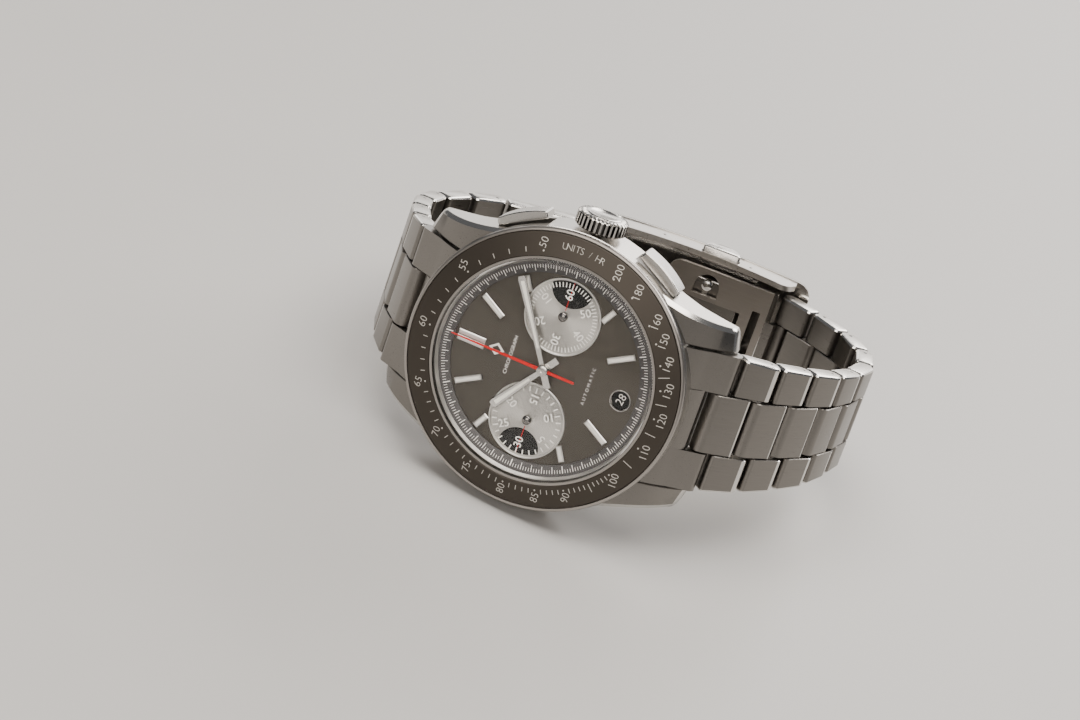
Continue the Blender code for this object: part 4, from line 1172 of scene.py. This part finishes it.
def cover_curve(low, bow, start, end, span, steps=32):
    """Points along the clasp whose distance from the wrist follows the cover's bow."""
    middle = (COVER_START + span - COVER_END_CLEARANCE) / 2
    half = middle - COVER_START
    stops = [start + (end - start) * i / steps for i in range(steps + 1)]
    return [(u, low + bow * (1 - ((u - middle) / half) ** 2)) for u in stops]


def make_cover(matrix, span):
    """The bowed outer plate, with rounded corners and a softened rim."""
    end = span - COVER_END_CLEARANCE
    corner, half = 2.0, COVER_HALF_WIDTH
    stops = [COVER_START + (end - COVER_START) * i / 48 for i in range(49)]
    stops[1:1] = [COVER_START + 0.15, COVER_START + 0.5]
    stops[-1:-1] = [end - 0.5, end - 0.15]
    rings = []
    for u in sorted(stops):
        into = min(u - COVER_START, end - u, corner)
        reach = half - corner + math.sqrt(max(corner ** 2 - (corner - into) ** 2, 0.0004))
        top = cover_curve(COVER_OUTER, COVER_BOW, u, u, span, 1)[0][1]
        under = top - COVER_PLATE
        rings.append([(reach - 0.35, u, top), (reach - 0.1, u, top - 0.1), (reach, u, top - 0.35),
                      (reach, u, under), (-reach, u, under), (-reach, u, top - 0.35),
                      (-reach + 0.1, u, top - 0.1), (-reach + 0.35, u, top)])
    work = bmesh.new()
    ring_stack(work, rings, lambda level, i: 0 if i == 7 else 1, 1)
    looks = ("brushed", "satin_edge")
    build("clasp_cover_plate", work, matrix, "clasp_cover", looks, ("clasp_cover",), 25)
    make_flanges(matrix, span, end)
    make_cover_ears(matrix, span, end)


def make_flanges(matrix, span, end):
    inner = FLANGE_HALF_WIDTH - FLANGE_THICKNESS
    near = cover_curve(FLANGE_INNER, FLANGE_BOW, 2.2, end - 2.6, span)
    side = cover_curve(COVER_OUTER - 0.3, COVER_BOW, end - 0.8, 0.2, span)
    side += [(0.2, 0.5), (0.9, near[0][1] + 0.6), (1.5, near[0][1] + 0.15)] + near
    side += [(end - 1.7, near[-1][1] + 0.35), (end - 0.8, 0.0)]
    for sign, label in CLASP_SIDES:
        low, high = sorted((sign * inner, sign * FLANGE_HALF_WIDTH))
        work = bmesh.new()
        across(work, low, high, side, button_outline(0.12))
        # The flange sides take the lighter flank steel: painted light.
        looks = ("flank", "satin_edge")
        flange = build("clasp_flange_" + label, work, matrix, "clasp_cover", looks)
        bevelled(flange, 0.14)
        heads = bmesh.new()
        head = [(0, 0.05), (0.18, 0.05), (0.27, -0.01), (0.3, -0.2), (0, -0.2)]
        for at in PIN_HEADS:
            add_turned(heads, head, 24, crosswise((sign * FLANGE_HALF_WIDTH, *at), sign))
        # The pin heads take the dark steel: painted shade.
        build("clasp_pin_heads_" + label, heads, matrix, "clasp_cover", ("hub",))


def make_cover_ears(matrix, span, end):
    work = bmesh.new()
    for sign in (1, -1):
        low, high = sorted((sign * FORK_INNER, sign * 4.6))
        ear = [(4.8, 3.4), (5.1, 0.1)] + arc(COVER_HINGE, KNUCKLE_R, 200, 340, 12) + [(6.9, 3.4)]
        across(work, low, high, ear)
    across(work, -4.0, 4.0, circle(COVER_HINGE, 0.36, 20))
    half = centre_half(SIX_LINKS) - SIDE_GAP
    tongue = [(end - 3.0, 3.0), (end - 3.0, 2.0), (span - 1.9, 1.0), (span - 0.9, -0.9), (span, -0.6),
              (span + 0.3, 0.6), (span - 0.9, 1.0), (end - 0.3, 2.3)]
    across(work, -half, half, tongue)
    across(work, -half, half, circle((span, 0), COVER_EYE_R, 28))
    build("clasp_cover_ears", work, matrix, "clasp_cover", ("brushed",))


def make_button(name, sign, matrix):
    """A push-button with a gently domed end."""
    work = bmesh.new()
    outline = button_outline(0)
    levels = [(BUTTON_INNER, 0.0), (BUTTON_OUTER - 0.3, 0.0), (BUTTON_OUTER - 0.12, 0.08),
              (BUTTON_OUTER, 0.3)]
    rings = [[(sign * x, y, z) for y, z in inset(outline, pull)] for x, pull in levels]
    ring_stack(work, rings)
    build(name + "_cap", work, matrix, name, ("flange",), (name,), 30)


def make_lower_blade(matrix):
    """The innermost blade, with its windows, catches, rolled end and tongue."""
    corner = 2.0
    edge = [(BLADE_HALF_WIDTH, 2.6)]
    edge += arc((BLADE_HALF_WIDTH - corner, BLADE_SHOULDER - corner), corner, 0, 90, 14)
    edge += [(BLADE_NECK, BLADE_SHOULDER), (BLADE_NECK, 24.6)]
    catch = arc((CATCH_X, CATCH_U), CATCH_R, -90, 90, 20)
    catch += [(3.9, CATCH_U + CATCH_R), (3.9, CATCH_U - CATCH_R)]
    holes = [catch, mirrored(catch), rectangle(3.2, 6.4, 16.5), rectangle(4.3, 3.6, 4.8)]
    work = bmesh.new()
    prism(work, [edge + mirrored(edge)] + holes, BLADE_INNER, BLADE_OUTER)
    body = "clasp_lower_blade"
    # The blade takes a lighter copy of the brushed steel as painted light, its bevels the lighter flank
    # steel.
    blade = build("lower_blade_plate", work, matrix, body, ("blade", "flank"), (body,))
    bevelled(blade, 0.12)
    rolled = bmesh.new()
    lip = [(3.0, BLADE_INNER), (2.5, -1.96), (2.2, -1.8), (2.0, -1.5), (1.92, -1.1), (1.95, -0.4),
           (2.5, -0.4), (2.55, -0.9), (2.7, -1.2), (3.0, BLADE_OUTER)]
    across(rolled, -BLADE_HALF_WIDTH, BLADE_HALF_WIDTH, lip)
    build("lower_blade_roll", rolled, matrix, body, ("satin_edge",), sharp=50)
    make_catches(matrix)
    half = centre_half(SIX_LINKS) - SIDE_GAP
    parts = bmesh.new()
    tongue = [(0.8, -1.0), (0.8, 0.6), (2.0, -1.3), (3.4, -1.35), (3.4, -1.95), (1.2, -1.95)]
    across(parts, -half, half, circle((0, 0), LINK_R - 0.05, 32))
    across(parts, -half, half, tongue)
    across(parts, -KNUCKLE_HALF, KNUCKLE_HALF, circle(BLADE_HINGE, KNUCKLE_R, 24))
    across(parts, -KNUCKLE_HALF, KNUCKLE_HALF, [(24.0, -1.4), (25.6, -0.8), (25.6, -1.5), (24.0, -1.9)])
    build("lower_blade_ends", parts, matrix, body, ("brushed",))


def make_catches(matrix):
    for sign, label in CLASP_SIDES:
        at = matrix @ shift(sign * (CATCH_X + 0.25), CATCH_U, 0)
        spin("catch_stud_" + label, [
            (0, -2.35), (0.6, -2.35), (0.75, -2.25), (0.8, -2.1), (0.8, -1.4), (0, -1.4),
        ], at, "clasp_lower_blade", ("polished",), slot="polished", steps=32)
        low, high = sorted((sign * 3.15, sign * CATCH_X))
        arm = bmesh.new()
        bar = [(low, CATCH_U - 0.4), (high, CATCH_U - 0.4), (high, CATCH_U + 0.4), (low, CATCH_U + 0.4)]
        prism(arm, [bar], -1.9, -1.5)
        build("catch_arm_" + label, arm, matrix, "clasp_lower_blade", ("polished",))


def make_upper_blade(matrix):
    work = bmesh.new()
    prism(work, [rectangle(UPPER_HALF_WIDTH, COVER_HINGE[0] + 1.1, BLADE_HINGE[0] - 1.2),
                 rectangle(2.4, 15.5, 21.0)], -0.6, 0.1)
    body = "clasp_upper_blade"
    plate = build("upper_blade_plate", work, matrix, body, ("brushed", "satin_edge"), (body,))
    bevelled(plate, 0.1)
    parts = bmesh.new()
    for sign in (1, -1):
        low, high = sorted((sign * FORK_INNER, sign * UPPER_HALF_WIDTH))
        across(parts, low, high, circle(BLADE_HINGE, KNUCKLE_R, 24))
        arm = [(24.2, 0.05), (24.2, -0.55), (25.6, -1.3), (26.4, -0.6)]
        across(parts, low, high, arm)
    across(parts, -KNUCKLE_HALF, KNUCKLE_HALF, circle(COVER_HINGE, KNUCKLE_R, 24))
    across(parts, -KNUCKLE_HALF, KNUCKLE_HALF, [(6.3, 0.6), (7.6, 0.05), (7.6, -0.55), (6.3, -0.1)])
    build("upper_blade_knuckles", parts, matrix, body, ("brushed",))


def make_clasp():
    matrix = clasp_matrix()
    last = joint_point("link_12_8_fold")
    ahead = bent(last - joint_point("link_12_7_fold"), "link_12_8_fold")
    tip = last + ahead.normalized() * PITCH * MM
    span = (tip - joint_point("clasp_lower_blade_fold")).length / MM
    make_cover(matrix, span)
    make_button("clasp_button_top", -1, matrix)
    make_button("clasp_button_bottom", 1, matrix)
    make_lower_blade(matrix)
    make_upper_blade(matrix)


# ---------------- carried-over nodes

def dress_frame():
    """Give every CAD node that still shows a finish for its slot."""
    looks = {"steel": "brushed", "silver": "dish"}
    for part in RECORD["subparts"]:
        shown = frame["nodes"][part["node"]]
        for slot in shown.material_slots:
            slot.material = LOOKS[looks.get(part["material_slot"], part["material_slot"])]


# ---------------- stage

def make_floor():
    work = bmesh.new()
    corners = rectangle(FLOOR_HALF, -FLOOR_HALF, FLOOR_HALF)
    work.faces.new([work.verts.new((x, y, 0)) for x, y in corners])
    floor = from_bmesh("floor", work)
    material, shader = base_material("pale_floor", FLOOR_COLOUR, 0.55, 0)
    vary(material, shader, grain(material, 40), FLOOR_COLOUR, 0.02, 0.55, 0.03)
    floor.data.materials.append(material)


def area_light(name, at, size, power, colour):
    """A softbox aimed at the watch, its place and size in metres in the row frame."""
    lamp = bpy.data.lights.new(name, "AREA")
    lamp.shape = "RECTANGLE"
    lamp.size, lamp.size_y = size
    lamp.energy = power
    lamp.color = colour
    holder = new_object(name, lamp)
    holder.location = at
    aim = Vector(LIGHT_TARGET) - Vector(at)
    holder.rotation_euler = aim.to_track_quat("-Z", "Y").to_euler()


def make_lights():
    world = bpy.data.worlds.new("studio")
    world.use_nodes = True
    feed(world.node_tree.nodes["Background"], {"Color": (0.93, 0.95, 1.0, 1), "Strength": 0.15})
    bpy.context.scene.world = world
    area_light("key", (0.0, -0.05, 0.48), (0.6, 0.3), 4.2, (1.0, 0.95, 0.88))
    area_light("back", (0.16, 0.46, 0.26), (0.5, 0.2), 2.6, (1.0, 0.96, 0.92))
    area_light("rim", (-0.12, 0.60, 0.10), (0.7, 0.2), 1.0, (1.0, 0.97, 0.94))
    area_light("front", (-0.02, -0.50, 0.27), (0.4, 0.3), 1.2, (1.0, 0.93, 0.85))


def make_camera():
    camera = bpy.data.cameras.new("camera")
    camera.sensor_width = 36
    camera.lens = LENS
    camera.clip_start = 0.01
    camera.clip_end = 10
    right, back = Vector(VIEW_RIGHT).normalized(), Vector(VIEW_BACK)
    back = (back - back.dot(right) * right).normalized()
    holder = new_object("camera", camera)
    holder.matrix_world = WATCH @ basis(right, back.cross(right), back, Vector(EYE) * MM)
    bpy.context.scene.camera = holder


dress_frame()
make_case()
make_bezel()
make_crystal()
make_case_back()
make_crown()
make_pusher("pusher_top", 1)
make_pusher("pusher_bottom", -1)
make_dial()
make_subdial("seconds", 1, "running_seconds", (60, 50, 40, 30, 20, 10), 60)
make_subdial("minute_counter", -1, "minute_counter_disc", (30, 25, 20, 15, 10, 5), 30)
make_hands()
make_end_link("end_link_12", 1)
make_end_link("end_link_6", -1)
make_bracelet()
make_clasp()
make_floor()
make_lights()
make_camera()
